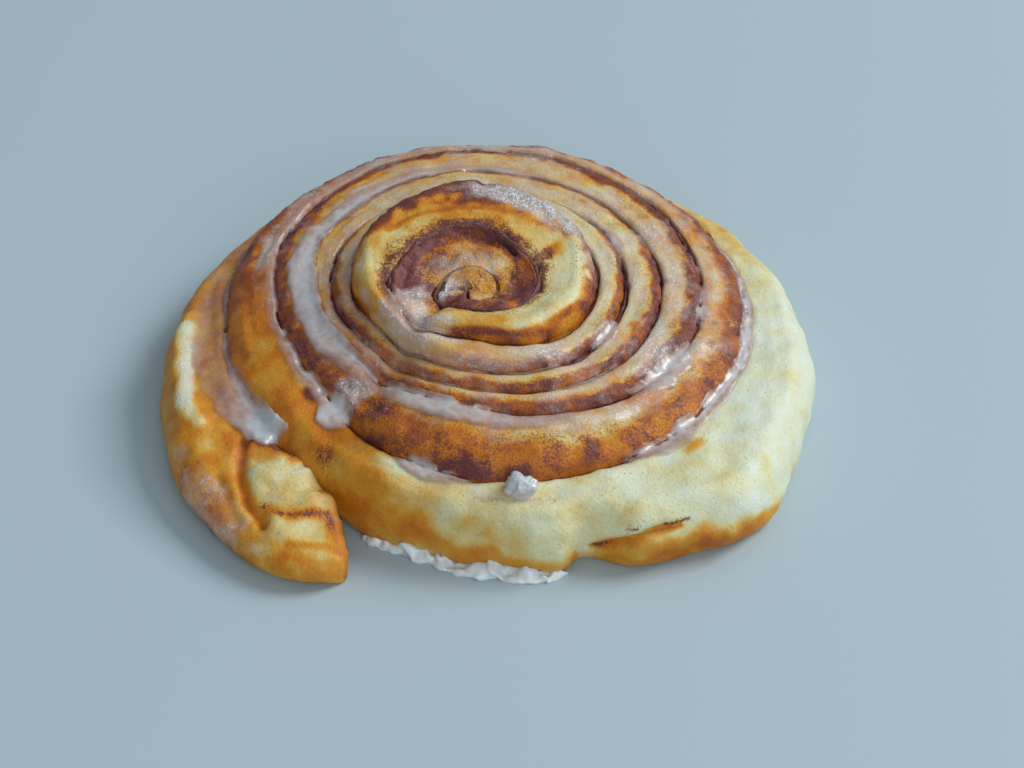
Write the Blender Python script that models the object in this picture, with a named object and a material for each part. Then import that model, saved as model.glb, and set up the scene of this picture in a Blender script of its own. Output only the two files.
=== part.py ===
"""A flat cinnamon bun: one strip of dough coiled round its heart, the cinnamon filling
rolled up with it, and the icing that has set in its grooves and under its edge.

A place along the coil is given by its lap, counted clockwise from the left of the
outermost turn: lap 0 is left, 0.25 back, 0.5 right, 0.75 front, and 1 is left again,
one turn further in. The strip at a lap lies between the seam at that lap and the seam
one lap further in. Sizes are in millimetres until the points become a mesh.
"""

import math

import bmesh
import bpy
from mathutils import Vector

MM = 0.001

# The heart of the coil lies off the middle of the bun, which is the origin.
HEART_MM = (-3.9, -7.5)

# How far each seam is from the heart, outermost first: left, back left, back, back right,
# right, front right, front and front left.
SEAM_MM = (
    (64.5, 66.8, 74.0, 73.2, 72.3, 66.5, 52.5, 46.5),
    (50.5, 61.8, 69.0, 65.8, 57.2, 49.5, 43.3, 35.5),
    (38.5, 52.8, 62.0, 57.0, 47.2, 38.2, 29.0, 26.4),
    (31.0, 43.5, 51.2, 46.9, 38.4, 32.0, 25.2, 22.3),
    (26.6, 36.4, 41.6, 38.6, 31.4, 26.8, 21.2, 18.2),
    (22.4, 30.0, 33.2, 31.0, 26.0, 20.5, 12.3, 13.2),
    (15.5, 15.8, 15.9, 14.6, 14.5, 11.5, 8.0, 7.4),
    (6.8, 6.4, 5.8, 6.2, 6.4, 5.4, 4.2, 4.2),
)
# How high the middle of the strip stands: left, back, right and front.
CROWN_MM = (
    (13.5, 12.5, 14.5, 14.5),
    (18.0, 21.0, 18.5, 20.0),
    (20.5, 22.8, 21.5, 23.0),
    (22.5, 24.5, 23.5, 24.5),
    (24.0, 27.0, 25.5, 28.0),
    (30.5, 35.0, 31.0, 30.5),
    (31.0, 32.5, 30.5, 31.0),
    (30.0, 31.0, 30.0, 30.0),
)
# How much higher the inner side of the strip is than its outer side, lap by lap.
RISE_MM = (1.5, 3.5, 1.5, 1.0, 1.0, -2.0, -1.0, 0.0)
# How far in from its outer and inner side the strip's top is rounded off, lap by lap.
OUTER_SHOULDER_MM = (6.5, 3.2, 2.6, 2.0, 2.0, 5.0, 2.4, 2.0)
INNER_SHOULDER_MM = (2.2, 2.4, 2.0, 1.6, 1.6, 3.0, 2.0, 1.6)
INNER_DROP = 1.8

# The outer wall is fullest a little above the surface that it stands on.
WALL_FULLEST_HEIGHT = 4.5
WALL_TUCK = 3.0
EDGE_CHAMFER = 0.9

# The outer wall has a blunt corner at the front right, and a pinch in front of it.
CORNER_LAP = 0.604
CORNER_BULGE = 4.5
CORNER_SPREAD = 0.02
PINCH_LAP = 0.6806
PINCH_DEPTH = 4.0
PINCH_SPREAD = 0.009

# A crease runs out from the heart at the front left, across every lap.
CREASE_LAP = 0.87
CREASE_DEPTH = 1.6
CREASE_SPREAD = 0.022

# The loose end of the strip: it peels away from the coil and narrows to a blunt tip.
TAIL_TIP_LAP = -0.187
TAIL_RADIUS = 67.8
TAIL_RADIUS_FROM = -0.15
TAIL_PEEL = 4.5
TAIL_PEEL_FROM = -0.15
TAIL_ROUND_FROM = -0.155
TAIL_TIP_HEIGHT = 8.0

# The inner end of the strip, round the pin hole at the heart.
HEART_END_LAP = 7.73
HEART_HOLE_RADIUS = 0.6
HEART_TUCK_LAPS = 0.08

# The filling, and the gap between touching solids.
FILLING_HALF = 0.4
HEART_FILLING_HALF = 0.95
HEART_FILLING_LAPS = (5.5, 6.5)
FILLING_START_LAP = 0.9
FILLING_END_LAP = 7.66
FILLING_BASE = 0.9
FILLING_SHOWS = 0.3
GAP = 0.3
UNDER_ICING = 0.4

# Cross-sections lie on a grid of even steps round the heart, so that neighbours match.
GRID_STEPS_PER_LAP = 72
GRID_STEPS_BY_LAP = (1, 2, 2, 2, 2, 2, 4, 4)
OUTER_ROUND_STEPS = 3
INNER_ROUND_STEPS = 2

# Icing that lies in a seam: its first and last grid step, and how far out it reaches.
POOLS = {
    "icing_middle_seam": (192, 240, 4.4),
    "icing_left_seam": (136, 164, 2.8),
    "icing_right_seam": (100, 118, 2.4),
}
POOL_DEPTH = 1.1
POOL_EDGE = 0.25
POOL_STEPS = 4

# Icing that lies on the loose end: its grid steps, and its shares of the strip's width.
TAIL_ICING_STEPS = (-8, 5)
TAIL_ICING_SHARES = (0.34, 0.93)
TAIL_ICING_DEPTH = 1.0

# Icing that has run under the front edge and set there, and its grid steps.
FOOT_STEPS = (50, 59)
FOOT_HEIGHT = 1.9
FOOT_REACH = 0.3
FOOT_SWELL = 1.7
FOOT_SWELL_LAP = 0.735
FOOT_SWELL_SPREAD = 0.026

# The lump of icing on the front edge.
LUMP_LAP = 0.714
LUMP_FROM_SEAM = 2.9
LUMP_SIZE_MM = (6.0, 5.0, 4.4)

CRUST = ((0.72, 0.45, 0.16), 0.55)
CINNAMON = ((0.23, 0.09, 0.06), 0.7)
ICING = ((0.86, 0.88, 0.92), 0.3)


def smooth(low, high, value):
    """0 below low, 1 above high, and a smooth rise between them."""
    x = min(1.0, max(0.0, (value - low) / (high - low)))
    return x * x * (3.0 - 2.0 * x)


def bell(middle, spread, value):
    """1 at the middle, fading smoothly to 0 on both sides."""
    return math.exp(-0.5 * ((value - middle) / spread) ** 2)


def through(values, position):
    """A smooth curve through evenly spaced values, read at a position among them."""
    last = len(values) - 1
    position = min(max(position, 0.0), float(last))
    left = min(int(position), last - 1)
    x = position - left
    before, start, end, after = (
        values[min(max(left + step, 0), last)] for step in (-1, 0, 1, 2)
    )
    return start + 0.5 * x * (
        end - before
        + x * (2 * before - 5 * start + 4 * end - after + x * (3 * (start - end) + after - before))
    )


def round_the_coil(rows, lap):
    """A value at a lap, from rows that each hold one lap's values from the left round."""
    return through([value for row in rows for value in row], len(rows[0]) * lap)


def by_lap(values, lap):
    """A value from a list with one value for the middle of each lap."""
    return through(values, lap - 0.4)


def seam_radius(lap):
    """How far the seam is from the heart."""
    if lap <= 0.0:
        return TAIL_RADIUS + (SEAM_MM[0][0] - TAIL_RADIUS) * smooth(TAIL_RADIUS_FROM, 0.0, lap)
    radius = round_the_coil(SEAM_MM, lap)
    radius += CORNER_BULGE * bell(CORNER_LAP, CORNER_SPREAD, lap)
    return radius - PINCH_DEPTH * bell(PINCH_LAP, PINCH_SPREAD, lap)


def half_filling(lap):
    """Half the filling's thickness in the seam at a lap."""
    return FILLING_HALF + (HEART_FILLING_HALF - FILLING_HALF) * smooth(*HEART_FILLING_LAPS, lap)


def half_seam(lap):
    """How far each side of the seam the dough stays clear."""
    return half_filling(lap) + GAP


def tip_share(lap):
    """1 along the strip, falling to 0 at the loose end's tip, as a quarter circle does."""
    x = min(1.0, max(0.0, (TAIL_ROUND_FROM - lap) / (TAIL_ROUND_FROM - TAIL_TIP_LAP)))
    return math.sqrt(1.0 - 0.97 * x * x)


def strip_sides(lap):
    """The outer and the inner radius of the strip at a lap."""
    outer = seam_radius(lap) - half_seam(lap) * smooth(0.86, 0.92, lap)
    if lap + 1.0 < HEART_END_LAP:
        inner = seam_radius(lap + 1.0) + half_seam(lap + 1.0)
    else:
        tuck = smooth(0.0, HEART_TUCK_LAPS, lap + 1.0 - HEART_END_LAP)
        last = seam_radius(HEART_END_LAP) + half_seam(HEART_END_LAP)
        inner = last + (HEART_HOLE_RADIUS - last) * tuck
    inner += TAIL_PEEL * (1.0 - smooth(TAIL_TIP_LAP, TAIL_PEEL_FROM, lap))
    middle, half = 0.5 * (outer + inner), 0.5 * (outer - inner) * tip_share(lap)
    return middle + half, middle - half


def crown_height(lap):
    """How high the middle of the strip stands at a lap."""
    height = round_the_coil(CROWN_MM, lap)
    height -= CREASE_DEPTH * bell(CREASE_LAP, CREASE_SPREAD, lap % 1.0)
    if lap < 0.0:
        height += (TAIL_TIP_HEIGHT - height) * smooth(0.0, -TAIL_TIP_LAP, -lap)
    return height * (0.45 + 0.55 * tip_share(lap))


def groove_height(lap):
    """How high the two strips part at the seam at a lap."""
    return crown_height(lap - 1.0) + 0.5 * by_lap(RISE_MM, lap - 1.0) - INNER_DROP


def top_height(lap, share):
    """The height of the strip's top at a share of its width, from its outer side."""
    outer, inner = strip_sides(lap)
    width = outer - inner
    rise = by_lap(RISE_MM, lap) * tip_share(lap)
    height = crown_height(lap) + rise * (share - 0.5)
    outer_foot = groove_height(lap) if lap >= 0.9 else WALL_FULLEST_HEIGHT * tip_share(lap)
    inner_foot = groove_height(lap + 1.0) if lap > 0.0 else crown_height(lap) - INNER_DROP
    drops = (
        (share, by_lap(OUTER_SHOULDER_MM, lap), crown_height(lap) - 0.5 * rise - outer_foot),
        (1.0 - share, by_lap(INNER_SHOULDER_MM, lap), crown_height(lap) + 0.5 * rise - inner_foot),
    )
    for from_side, shoulder, drop in drops:
        x = max(0.0, 1.0 - from_side * width / min(shoulder, 0.46 * width))
        height -= drop * (1.0 - math.sqrt(max(0.0, 1.0 - x * x)))
    return height


def place(lap, radius, height):
    """The point at a radius from the heart in the direction of a lap, in metres."""
    angle = math.pi * (1.0 - 2.0 * lap)
    x = HEART_MM[0] + radius * math.cos(angle)
    y = HEART_MM[1] + radius * math.sin(angle)
    return Vector((x, y, height)) * MM


def shoulder_shares(lap):
    """The shares of the strip's width at which its top is drawn."""
    outer, inner = strip_sides(lap)
    width = outer - inner
    sides = []
    for shoulders, steps in (
        (OUTER_SHOULDER_MM, OUTER_ROUND_STEPS),
        (INNER_SHOULDER_MM, INNER_ROUND_STEPS),
    ):
        reach = min(by_lap(shoulders, lap), 0.46 * width) / width
        turns = [0.5 * math.pi * step / steps for step in range(steps + 1)]
        sides.append([reach * (1.0 - math.cos(turn)) for turn in turns])
    return sides[0] + [0.5] + [1.0 - share for share in reversed(sides[1])]


def wall_foot(lap):
    """How far the wall tucks in at its foot, and how high it is fullest."""
    outer, inner = strip_sides(lap)
    width = outer - inner
    open_wall = 1.0 - smooth(0.86, 0.92, lap)
    tuck = min(EDGE_CHAMFER + (WALL_TUCK - EDGE_CHAMFER) * open_wall, 0.3 * width)
    fullest = 0.72 * WALL_FULLEST_HEIGHT * tip_share(lap)
    return tuck, EDGE_CHAMFER + (fullest - EDGE_CHAMFER) * open_wall


def strip_ring(lap):
    """The strip's cross-section at a lap, from the bottom round its outer side."""
    outer, inner = strip_sides(lap)
    width = outer - inner
    tuck, fullest = wall_foot(lap)
    chamfer = min(EDGE_CHAMFER, 0.2 * width)
    ring = [
        place(lap, inner + chamfer, 0.0),
        place(lap, outer - tuck, 0.0),
        place(lap, outer, fullest),
    ]
    ring += [
        place(lap, outer - share * width, top_height(lap, share)) for share in shoulder_shares(lap)
    ]
    ring.append(place(lap, inner, chamfer))
    return ring


def filling_ring(lap):
    """The filling's cross-section in the seam at a lap."""
    middle, half = seam_radius(lap), half_filling(lap)
    top = groove_height(lap) + FILLING_SHOWS
    return [
        place(lap, middle - half, FILLING_BASE),
        place(lap, middle + half, FILLING_BASE),
        place(lap, middle + half, top - 0.3),
        place(lap, middle, top),
        place(lap, middle - half, top - 0.3),
    ]


def pool_ring(lap, reach, share):
    """Icing that lies in a seam and over the strip outside it. Its share is 0 at its ends."""
    outside = lap - 1.0
    outer, inner = strip_sides(outside)
    reach *= 0.35 + 0.65 * share
    start = inner - half_seam(lap) + 0.1
    steps = [start + reach * step / POOL_STEPS for step in range(POOL_STEPS + 1)]
    under, over = [], []
    for number, radius in enumerate(steps):
        over_strip = max(0.0, (outer - max(radius, inner)) / (outer - inner))
        floor = max(top_height(outside, min(1.0, over_strip)), groove_height(lap) + FILLING_SHOWS)
        under.append(place(lap, radius, floor + UNDER_ICING))
        swell = math.sin(math.pi * (0.12 + 0.8 * number / POOL_STEPS))
        level = crown_height(outside) + 0.5 * by_lap(RISE_MM, outside)
        edge = floor + UNDER_ICING + POOL_EDGE
        filled = max(edge, level + 0.4 * share)
        thick = min(filled, edge + POOL_DEPTH * swell * (0.3 + 0.7 * share))
        over.append(place(lap, radius, thick))
    return under + over[::-1]


def tail_icing_ring(lap, share):
    """The sheet of icing that lies on the loose end."""
    outer, inner = strip_sides(lap)
    low, high = TAIL_ICING_SHARES
    low += 0.22 * (1.0 - share)
    under, over = [], []
    for step in range(POOL_STEPS + 1):
        across = low + (high - low) * step / POOL_STEPS
        radius = outer - across * (outer - inner)
        floor = top_height(lap, across) + UNDER_ICING
        under.append(place(lap, radius, floor))
        swell = math.sin(math.pi * (0.1 + 0.8 * step / POOL_STEPS)) * (0.3 + 0.7 * share)
        over.append(place(lap, radius, floor + POOL_EDGE + TAIL_ICING_DEPTH * swell))
    return under + over[::-1]


def foot_ring(lap, share):
    """The icing under the front edge, from beneath the wall out to its thin edge."""
    wall = strip_sides(lap)[0]
    reach = 0.4 + share * (FOOT_REACH + FOOT_SWELL * bell(FOOT_SWELL_LAP, FOOT_SWELL_SPREAD, lap))
    height = FOOT_HEIGHT * (0.4 + 0.6 * share)
    tuck, fullest = wall_foot(lap)
    under_wall = wall - tuck + 1.4 * GAP
    at_height = under_wall + tuck * height / fullest
    return [
        place(lap, under_wall, 0.0),
        place(lap, wall + reach, 0.0),
        place(lap, wall + reach + 0.2, 0.45 * height),
        place(lap, wall + 0.55 * reach, 0.9 * height),
        place(lap, at_height, height),
    ]


def colour(name, finish):
    """A plain material of one colour."""
    (red, green, blue), roughness = finish
    material = bpy.data.materials.new(name)
    material.use_nodes = True
    shader = material.node_tree.nodes["Principled BSDF"]
    shader.inputs["Base Color"].default_value = (red, green, blue, 1.0)
    shader.inputs["Roughness"].default_value = roughness
    shader.inputs["Metallic"].default_value = 0.0
    return material


def add(name, bm, material):
    """Makes a bmesh one named object."""
    bmesh.ops.recalc_face_normals(bm, faces=bm.faces)
    mesh = bpy.data.meshes.new(name)
    bm.to_mesh(mesh)
    bm.free()
    mesh.materials.append(material)
    mesh.shade_smooth()
    mesh.set_sharp_from_angle(angle=math.radians(50.0))
    made = bpy.data.objects.new(name, mesh)
    bpy.context.scene.collection.objects.link(made)
    return made


def loft(name, rings, material):
    """One closed solid through rings of points, capped at both ends."""
    around, sections = len(rings[0]), len(rings) - 1
    bm = bmesh.new()
    bmesh.ops.create_grid(bm, x_segments=around, y_segments=sections, size=0.5)
    for vert in bm.verts:
        column = round((vert.co.x + 0.5) * around) % around
        row = round((vert.co.y + 0.5) * sections)
        vert.co = rings[row][column]
    bmesh.ops.remove_doubles(bm, verts=bm.verts, dist=1e-6)
    bmesh.ops.holes_fill(bm, edges=[edge for edge in bm.edges if edge.is_boundary], sides=0)
    return add(name, bm, material)


def stations(first, last):
    """The laps of the cross-sections from first to last, on the grid except at the ends."""
    laps = [first]
    step = math.floor(first * GRID_STEPS_PER_LAP) + 1
    while step < last * GRID_STEPS_PER_LAP - 0.5:
        lap = step / GRID_STEPS_PER_LAP
        if step % GRID_STEPS_BY_LAP[max(int(lap), 0)] == 0:
            laps.append(lap)
        step += 1
    return [*laps, last]


def with_shares(steps):
    """Stations of a piece of icing, each with a share that is 0 at its ends and 1 between."""
    first, last = (step / GRID_STEPS_PER_LAP for step in steps)
    placed = []
    for lap in stations(first, last):
        span = (lap - first) / (last - first)
        placed.append((lap, min(1.0, 2.2 * max(0.0, math.sin(math.pi * span)) ** 0.8)))
    return placed


def make_dough(material):
    """The strip of dough, from the tip of its loose end to the heart."""
    laps = [TAIL_TIP_LAP, TAIL_TIP_LAP + 0.003]
    laps += stations(TAIL_TIP_LAP + 0.009, HEART_END_LAP)
    return loft("dough_coil", [strip_ring(lap) for lap in laps], material)


def make_filling(material):
    """The ribbon of cinnamon filling between the laps of dough."""
    laps = stations(FILLING_START_LAP, FILLING_END_LAP)
    return loft("cinnamon_filling", [filling_ring(lap) for lap in laps], material)


def make_seam_icing(material):
    """The icing that has pooled in the seams."""
    for name, (*steps, reach) in POOLS.items():
        loft(name, [pool_ring(lap, reach, share) for lap, share in with_shares(steps)], material)


def make_tail_icing(material):
    """The sheet of icing on the loose end."""
    rings = [tail_icing_ring(lap, share) for lap, share in with_shares(TAIL_ICING_STEPS)]
    loft("icing_tail", rings, material)


def make_foot(material):
    """The icing that has set under the front edge."""
    rings = [foot_ring(lap, share) for lap, share in with_shares(FOOT_STEPS)]
    loft("icing_foot", rings, material)


def make_lump(material):
    """The lump of icing on the front edge, flat where it lies on the dough."""
    radius = seam_radius(LUMP_LAP + 1.0) + LUMP_FROM_SEAM
    outer, inner = strip_sides(LUMP_LAP)
    floor = top_height(LUMP_LAP, (outer - radius) / (outer - inner)) + UNDER_ICING + 0.2
    long, wide, high = (size * MM for size in LUMP_SIZE_MM)
    bm = bmesh.new()
    bmesh.ops.create_icosphere(bm, subdivisions=2, radius=0.5)
    for vert in bm.verts:
        lift = max(vert.co.z, -0.22) + 0.22
        vert.co = Vector((vert.co.x * long, vert.co.y * wide, lift * high))
    bmesh.ops.translate(bm, verts=bm.verts, vec=place(LUMP_LAP, radius, floor))
    return add("icing_lump", bm, material)


def main():
    """Clears the scene and makes the bun."""
    for old in list(bpy.data.objects):
        bpy.data.objects.remove(old)
    crust, cinnamon, icing = colour("crust", CRUST), colour("cinnamon", CINNAMON), colour("icing", ICING)
    make_dough(crust)
    make_filling(cinnamon)
    make_seam_icing(icing)
    make_tail_icing(icing)
    make_foot(icing)
    make_lump(icing)


main()
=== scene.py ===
"""A flat cinnamon bun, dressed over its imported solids.

One strip of dough is coiled round the bun's heart. A place along it is given by its lap,
counted clockwise from the left of the outermost turn: lap 0 is left, 0.25 back, 0.5 right,
0.75 front, and 1 is left again, one turn further in. The strip at a lap lies between the
seam at that lap and the seam one lap further in. Its share is 0 at its outer side and 1 at
its inner side. Sizes are in millimetres until the points become a mesh.
"""

import logging
import math
from dataclasses import dataclass, field
from enum import Enum
from typing import ClassVar

import bmesh
import bpy
import numpy as np
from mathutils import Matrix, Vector, noise
from mathutils.bvhtree import BVHTree


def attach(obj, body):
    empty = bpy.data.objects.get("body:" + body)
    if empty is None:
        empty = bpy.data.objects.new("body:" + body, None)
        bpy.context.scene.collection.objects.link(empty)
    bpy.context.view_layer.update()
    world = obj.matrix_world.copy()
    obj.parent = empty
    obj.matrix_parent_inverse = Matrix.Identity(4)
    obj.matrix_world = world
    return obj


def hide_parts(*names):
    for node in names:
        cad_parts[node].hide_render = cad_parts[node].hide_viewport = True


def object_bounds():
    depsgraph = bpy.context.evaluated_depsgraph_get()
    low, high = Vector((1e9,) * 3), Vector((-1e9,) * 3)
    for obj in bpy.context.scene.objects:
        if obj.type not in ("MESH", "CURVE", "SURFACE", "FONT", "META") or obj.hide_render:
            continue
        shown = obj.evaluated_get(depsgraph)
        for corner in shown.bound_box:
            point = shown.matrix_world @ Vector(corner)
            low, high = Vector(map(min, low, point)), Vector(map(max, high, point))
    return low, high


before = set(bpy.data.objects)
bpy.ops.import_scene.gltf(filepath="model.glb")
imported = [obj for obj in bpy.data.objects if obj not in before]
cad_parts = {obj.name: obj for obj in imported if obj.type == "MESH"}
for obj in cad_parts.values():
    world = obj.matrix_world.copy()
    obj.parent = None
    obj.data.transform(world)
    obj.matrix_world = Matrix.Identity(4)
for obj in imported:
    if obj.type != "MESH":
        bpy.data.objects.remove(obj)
CAD_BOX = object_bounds()

MM = 0.001
BODY = "root"
LOG = logging.getLogger("bun")
Array = np.ndarray
Colour = tuple[float, float, float]
Rows = tuple[tuple[float, ...], ...]
Parts = tuple[tuple[int, ...], ...]


def smooth(low: float | Array, high: float | Array, value: float | Array) -> Array:
    """Fades from 0 to 1.

    Args:
        low: Where the rise starts.
        high: Where the rise ends. It may be lower than low, which turns the fade round.
        value: What is read.

    Returns:
        0 before low, 1 after high, and a smooth rise between them.
    """
    x = np.clip((value - low) / (high - low), 0.0, 1.0)
    return x * x * (3.0 - 2.0 * x)


def mix(first: float | Array, second: float | Array, factor: float | Array) -> Array:
    """Goes from the first to the second as the factor goes from 0 to 1."""
    return first + (second - first) * factor


def bell(middle: float, spread: float, value: Array) -> Array:
    """A bell curve.

    Args:
        middle: Where it is 1.
        spread: Its standard deviation.
        value: What is read.

    Returns:
        1 at the middle, fading to 0 on both sides.
    """
    return np.exp(-0.5 * ((value - middle) / spread) ** 2)


def through(values: Array, position: Array) -> Array:
    """Reads a smooth curve through evenly spaced values.

    Args:
        values: The values on the curve.
        position: Where to read it, counted in values.

    Returns:
        The curve's height at each position.
    """
    values = np.asarray(values, float)
    last = len(values) - 1
    position = np.clip(np.asarray(position, float), 0.0, float(last))
    left = np.minimum(position.astype(int), last - 1)
    x = position - left
    near = (values[np.clip(left + step, 0, last)] for step in (-1, 0, 1, 2))
    before, start, end, after = near
    bend = 2 * before - 5 * start + 4 * end - after
    return start + 0.5 * x * (end - before + x * (bend + x * (3 * (start - end) + after - before)))


def noise_at(points: Array, wavelength: float, seed: float) -> Array:
    """Smooth noise in space.

    Args:
        points: Points in millimetres, in an array whose last axis is x, y, z.
        wavelength: The size of the noise's lumps in millimetres.
        seed: Picks one noise out of many.

    Returns:
        About -0.7 to 0.7 for each point.
    """
    flat = (points.reshape(-1, 3) / wavelength + (seed * 17.3, seed * 9.1, seed * 5.7)).tolist()
    made = np.fromiter((noise.noise(point) for point in flat), float, len(flat))
    return made.reshape(points.shape[:-1])


@dataclass(frozen=True)
class Coil:
    """The shape of the coiled strip, with the same sizes as the solids."""

    heart: tuple[float, float] = (-3.9, -7.5)
    # Left, back left, back, back right, right, front right, front and front left.
    seams: Rows = (
        (64.5, 66.8, 74.0, 73.2, 72.3, 66.5, 52.5, 46.5),
        (50.5, 61.8, 69.0, 65.8, 57.2, 49.5, 43.3, 35.5),
        (38.5, 52.8, 62.0, 57.0, 47.2, 38.2, 29.0, 26.4),
        (31.0, 43.5, 51.2, 46.9, 38.4, 32.0, 25.2, 22.3),
        (26.6, 36.4, 41.6, 38.6, 31.4, 26.8, 21.2, 18.2),
        (22.4, 30.0, 33.2, 31.0, 26.0, 20.8, 14.8, 15.0),
        (16.0, 15.8, 15.9, 14.6, 14.5, 11.5, 8.0, 7.4),
        (6.8, 6.4, 5.8, 6.2, 6.4, 5.4, 4.2, 4.2),
    )
    # Left, back, right and front.
    crowns: Rows = (
        (13.5, 12.5, 14.5, 14.5),
        (18.0, 21.0, 18.5, 20.0),
        (20.5, 22.8, 21.5, 23.0),
        (22.5, 24.5, 23.5, 24.5),
        (24.0, 27.0, 25.5, 28.0),
        (30.5, 35.0, 31.0, 30.5),
        (29.2, 31.2, 29.4, 29.6),
        (29.2, 30.2, 29.2, 29.2),
    )
    rises: tuple[float, ...] = (1.5, 3.5, 1.5, 1.0, 1.0, -2.0, -1.0, 0.0)
    outer_shoulders: tuple[float, ...] = (6.5, 3.2, 2.6, 2.0, 2.0, 5.0, 2.4, 2.0)
    inner_shoulders: tuple[float, ...] = (2.2, 2.4, 2.0, 1.6, 1.6, 3.0, 2.0, 1.6)
    inner_drop: float = 1.0
    heart_drop: float = 0.15
    wall_fullest: float = 4.5
    wall_tuck: float = 3.0
    chamfer: float = 0.9
    corner: tuple[float, float, float] = (0.604, 0.02, 4.5)
    pinch: tuple[float, float, float] = (0.6806, 0.009, 4.0)
    crease: tuple[float, float, float] = (0.87, 0.022, 1.6)
    tip_lap: float = -0.187
    tip_round_from: float = -0.155
    tip_height: float = 8.0
    tail_radius: float = 67.8
    tail_from: float = -0.15
    tail_peel: float = 4.5
    end_lap: float = 7.73
    hole_radius: float = 0.6
    tuck_laps: float = 0.08
    clear: float = 0.28
    heart_clear: float = 0.4
    centre_clear: float = 0.02
    # Laps between which the clearance widens, then closes, and the groove's drop fades.
    heart_laps: tuple[float, float] = (5.5, 6.5)
    centre_laps: tuple[float, float] = (6.98, 7.12)
    drop_laps: tuple[float, float] = (5.6, 6.0)
    # Laps between which the outer wall goes over into a groove.
    wall_laps: tuple[float, float] = (0.86, 0.92)
    first_groove: float = 0.9
    shoulder_share: float = 0.46

    def by_lap(self, values: tuple[float, ...], lap: Array) -> Array:
        """A value from a list with one value for the middle of each lap."""
        return through(values, lap - 0.4)

    def hump(self, shape: tuple[float, float, float], lap: Array) -> Array:
        """A hump given by its middle and its spread in laps and its height."""
        middle, spread, height = shape
        return height * bell(middle, spread, lap)

    def seam(self, lap: Array) -> Array:
        """The seam's distance from the heart.

        Args:
            lap: The laps.

        Returns:
            The radius at each lap.
        """
        tail = mix(self.tail_radius, self.seams[0][0], smooth(self.tail_from, 0.0, lap))
        radius = through(np.ravel(self.seams), len(self.seams[0]) * lap)
        radius = radius + self.hump(self.corner, lap) - self.hump(self.pinch, lap)
        return np.where(lap <= 0.0, tail, radius)

    def half_seam(self, lap: Array) -> Array:
        """How far each side of the seam the dough stays clear."""
        wider = mix(self.clear, self.heart_clear, smooth(*self.heart_laps, lap))
        return mix(wider, self.centre_clear, smooth(*self.centre_laps, lap))

    def tip_share(self, lap: Array) -> Array:
        """1 along the strip, falling to 0 at the loose end's tip."""
        span = self.tip_round_from - self.tip_lap
        x = np.clip((self.tip_round_from - lap) / span, 0.0, 1.0)
        return np.sqrt(1.0 - 0.97 * x * x)

    def sides(self, lap: Array) -> tuple[Array, Array]:
        """The strip's two sides.

        Args:
            lap: The laps.

        Returns:
            The outer and the inner radius at each lap.
        """
        outer = self.seam(lap) - self.half_seam(lap) * smooth(*self.wall_laps, lap)
        next_in = np.minimum(lap + 1.0, self.end_lap)
        last = self.seam(next_in) + self.half_seam(next_in)
        inner = mix(last, self.hole_radius, smooth(0.0, self.tuck_laps, lap + 1.0 - self.end_lap))
        inner = inner + self.tail_peel * (1.0 - smooth(self.tip_lap, self.tail_from, lap))
        middle, half = 0.5 * (outer + inner), 0.5 * (outer - inner) * self.tip_share(lap)
        return middle + half, middle - half

    def crown(self, lap: Array) -> Array:
        """The height of the strip's middle.

        Args:
            lap: The laps.

        Returns:
            The height at each lap.
        """
        height = through(np.ravel(self.crowns), len(self.crowns[0]) * lap)
        height = height - self.hump(self.crease, lap % 1.0)
        sinks = np.where(lap < 0.0, smooth(0.0, -self.tip_lap, -lap), 0.0)
        return mix(height, self.tip_height, sinks) * (0.45 + 0.55 * self.tip_share(lap))

    def groove(self, lap: Array) -> Array:
        """How high the two strips part at the seam at each lap."""
        drop = mix(self.inner_drop, self.heart_drop, smooth(*self.drop_laps, lap))
        return self.crown(lap - 1.0) + 0.5 * self.by_lap(self.rises, lap - 1.0) - drop

    def top(self, lap: Array, share: Array) -> Array:
        """The strip's top.

        Args:
            lap: The laps.
            share: The shares of its width.

        Returns:
            The height at each lap and share.
        """
        outer, inner = self.sides(lap)
        width = outer - inner
        rise = self.by_lap(self.rises, lap) * self.tip_share(lap)
        crown = self.crown(lap)
        height = crown + rise * (share - 0.5)
        groove = self.groove(np.maximum(lap, self.first_groove))
        wall = self.wall_fullest * self.tip_share(lap)
        outer_foot = np.where(lap >= self.first_groove, groove, wall)
        inner_foot = np.where(lap > 0.0, self.groove(lap + 1.0), crown - self.inner_drop)
        drops = (
            (share, self.by_lap(self.outer_shoulders, lap), crown - 0.5 * rise - outer_foot),
            (1.0 - share, self.by_lap(self.inner_shoulders, lap), crown + 0.5 * rise - inner_foot),
        )
        for from_side, shoulder, drop in drops:
            reach = np.minimum(shoulder, self.shoulder_share * width)
            x = np.maximum(0.0, 1.0 - from_side * width / reach)
            height = height - drop * (1.0 - np.sqrt(np.maximum(0.0, 1.0 - x * x)))
        return height

    def place(self, lap: Array, radius: Array, height: Array) -> Array:
        """Points at a radius from the heart in the direction of a lap.

        Args:
            lap: The laps.
            radius: The distances from the heart.
            height: The heights.

        Returns:
            The points in millimetres, with x, y, z on the last axis.
        """
        angle = math.pi * (1.0 - 2.0 * lap)
        x = self.heart[0] + radius * np.cos(angle)
        y = self.heart[1] + radius * np.sin(angle)
        return np.stack(np.broadcast_arrays(x, y, height), axis=-1)

    def steps(self, first: float, last: float, step: float) -> Array:
        """Laps with even steps along the strip's middle.

        Args:
            first: The first lap.
            last: The last lap.
            step: The length of a step in millimetres.

        Returns:
            The laps from first to last.
        """
        fine = np.linspace(first, last, 24001)
        outer, inner = self.sides(fine)
        middle, half = 0.5 * (outer + inner), 0.5 * (outer - inner)
        along = np.hypot(2.0 * math.pi * middle[1:] * np.diff(fine), np.diff(half))
        length = np.concatenate([[0.0], np.cumsum(along)])
        return np.interp(np.linspace(0.0, length[-1], round(length[-1] / step) + 1), length, fine)


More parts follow.
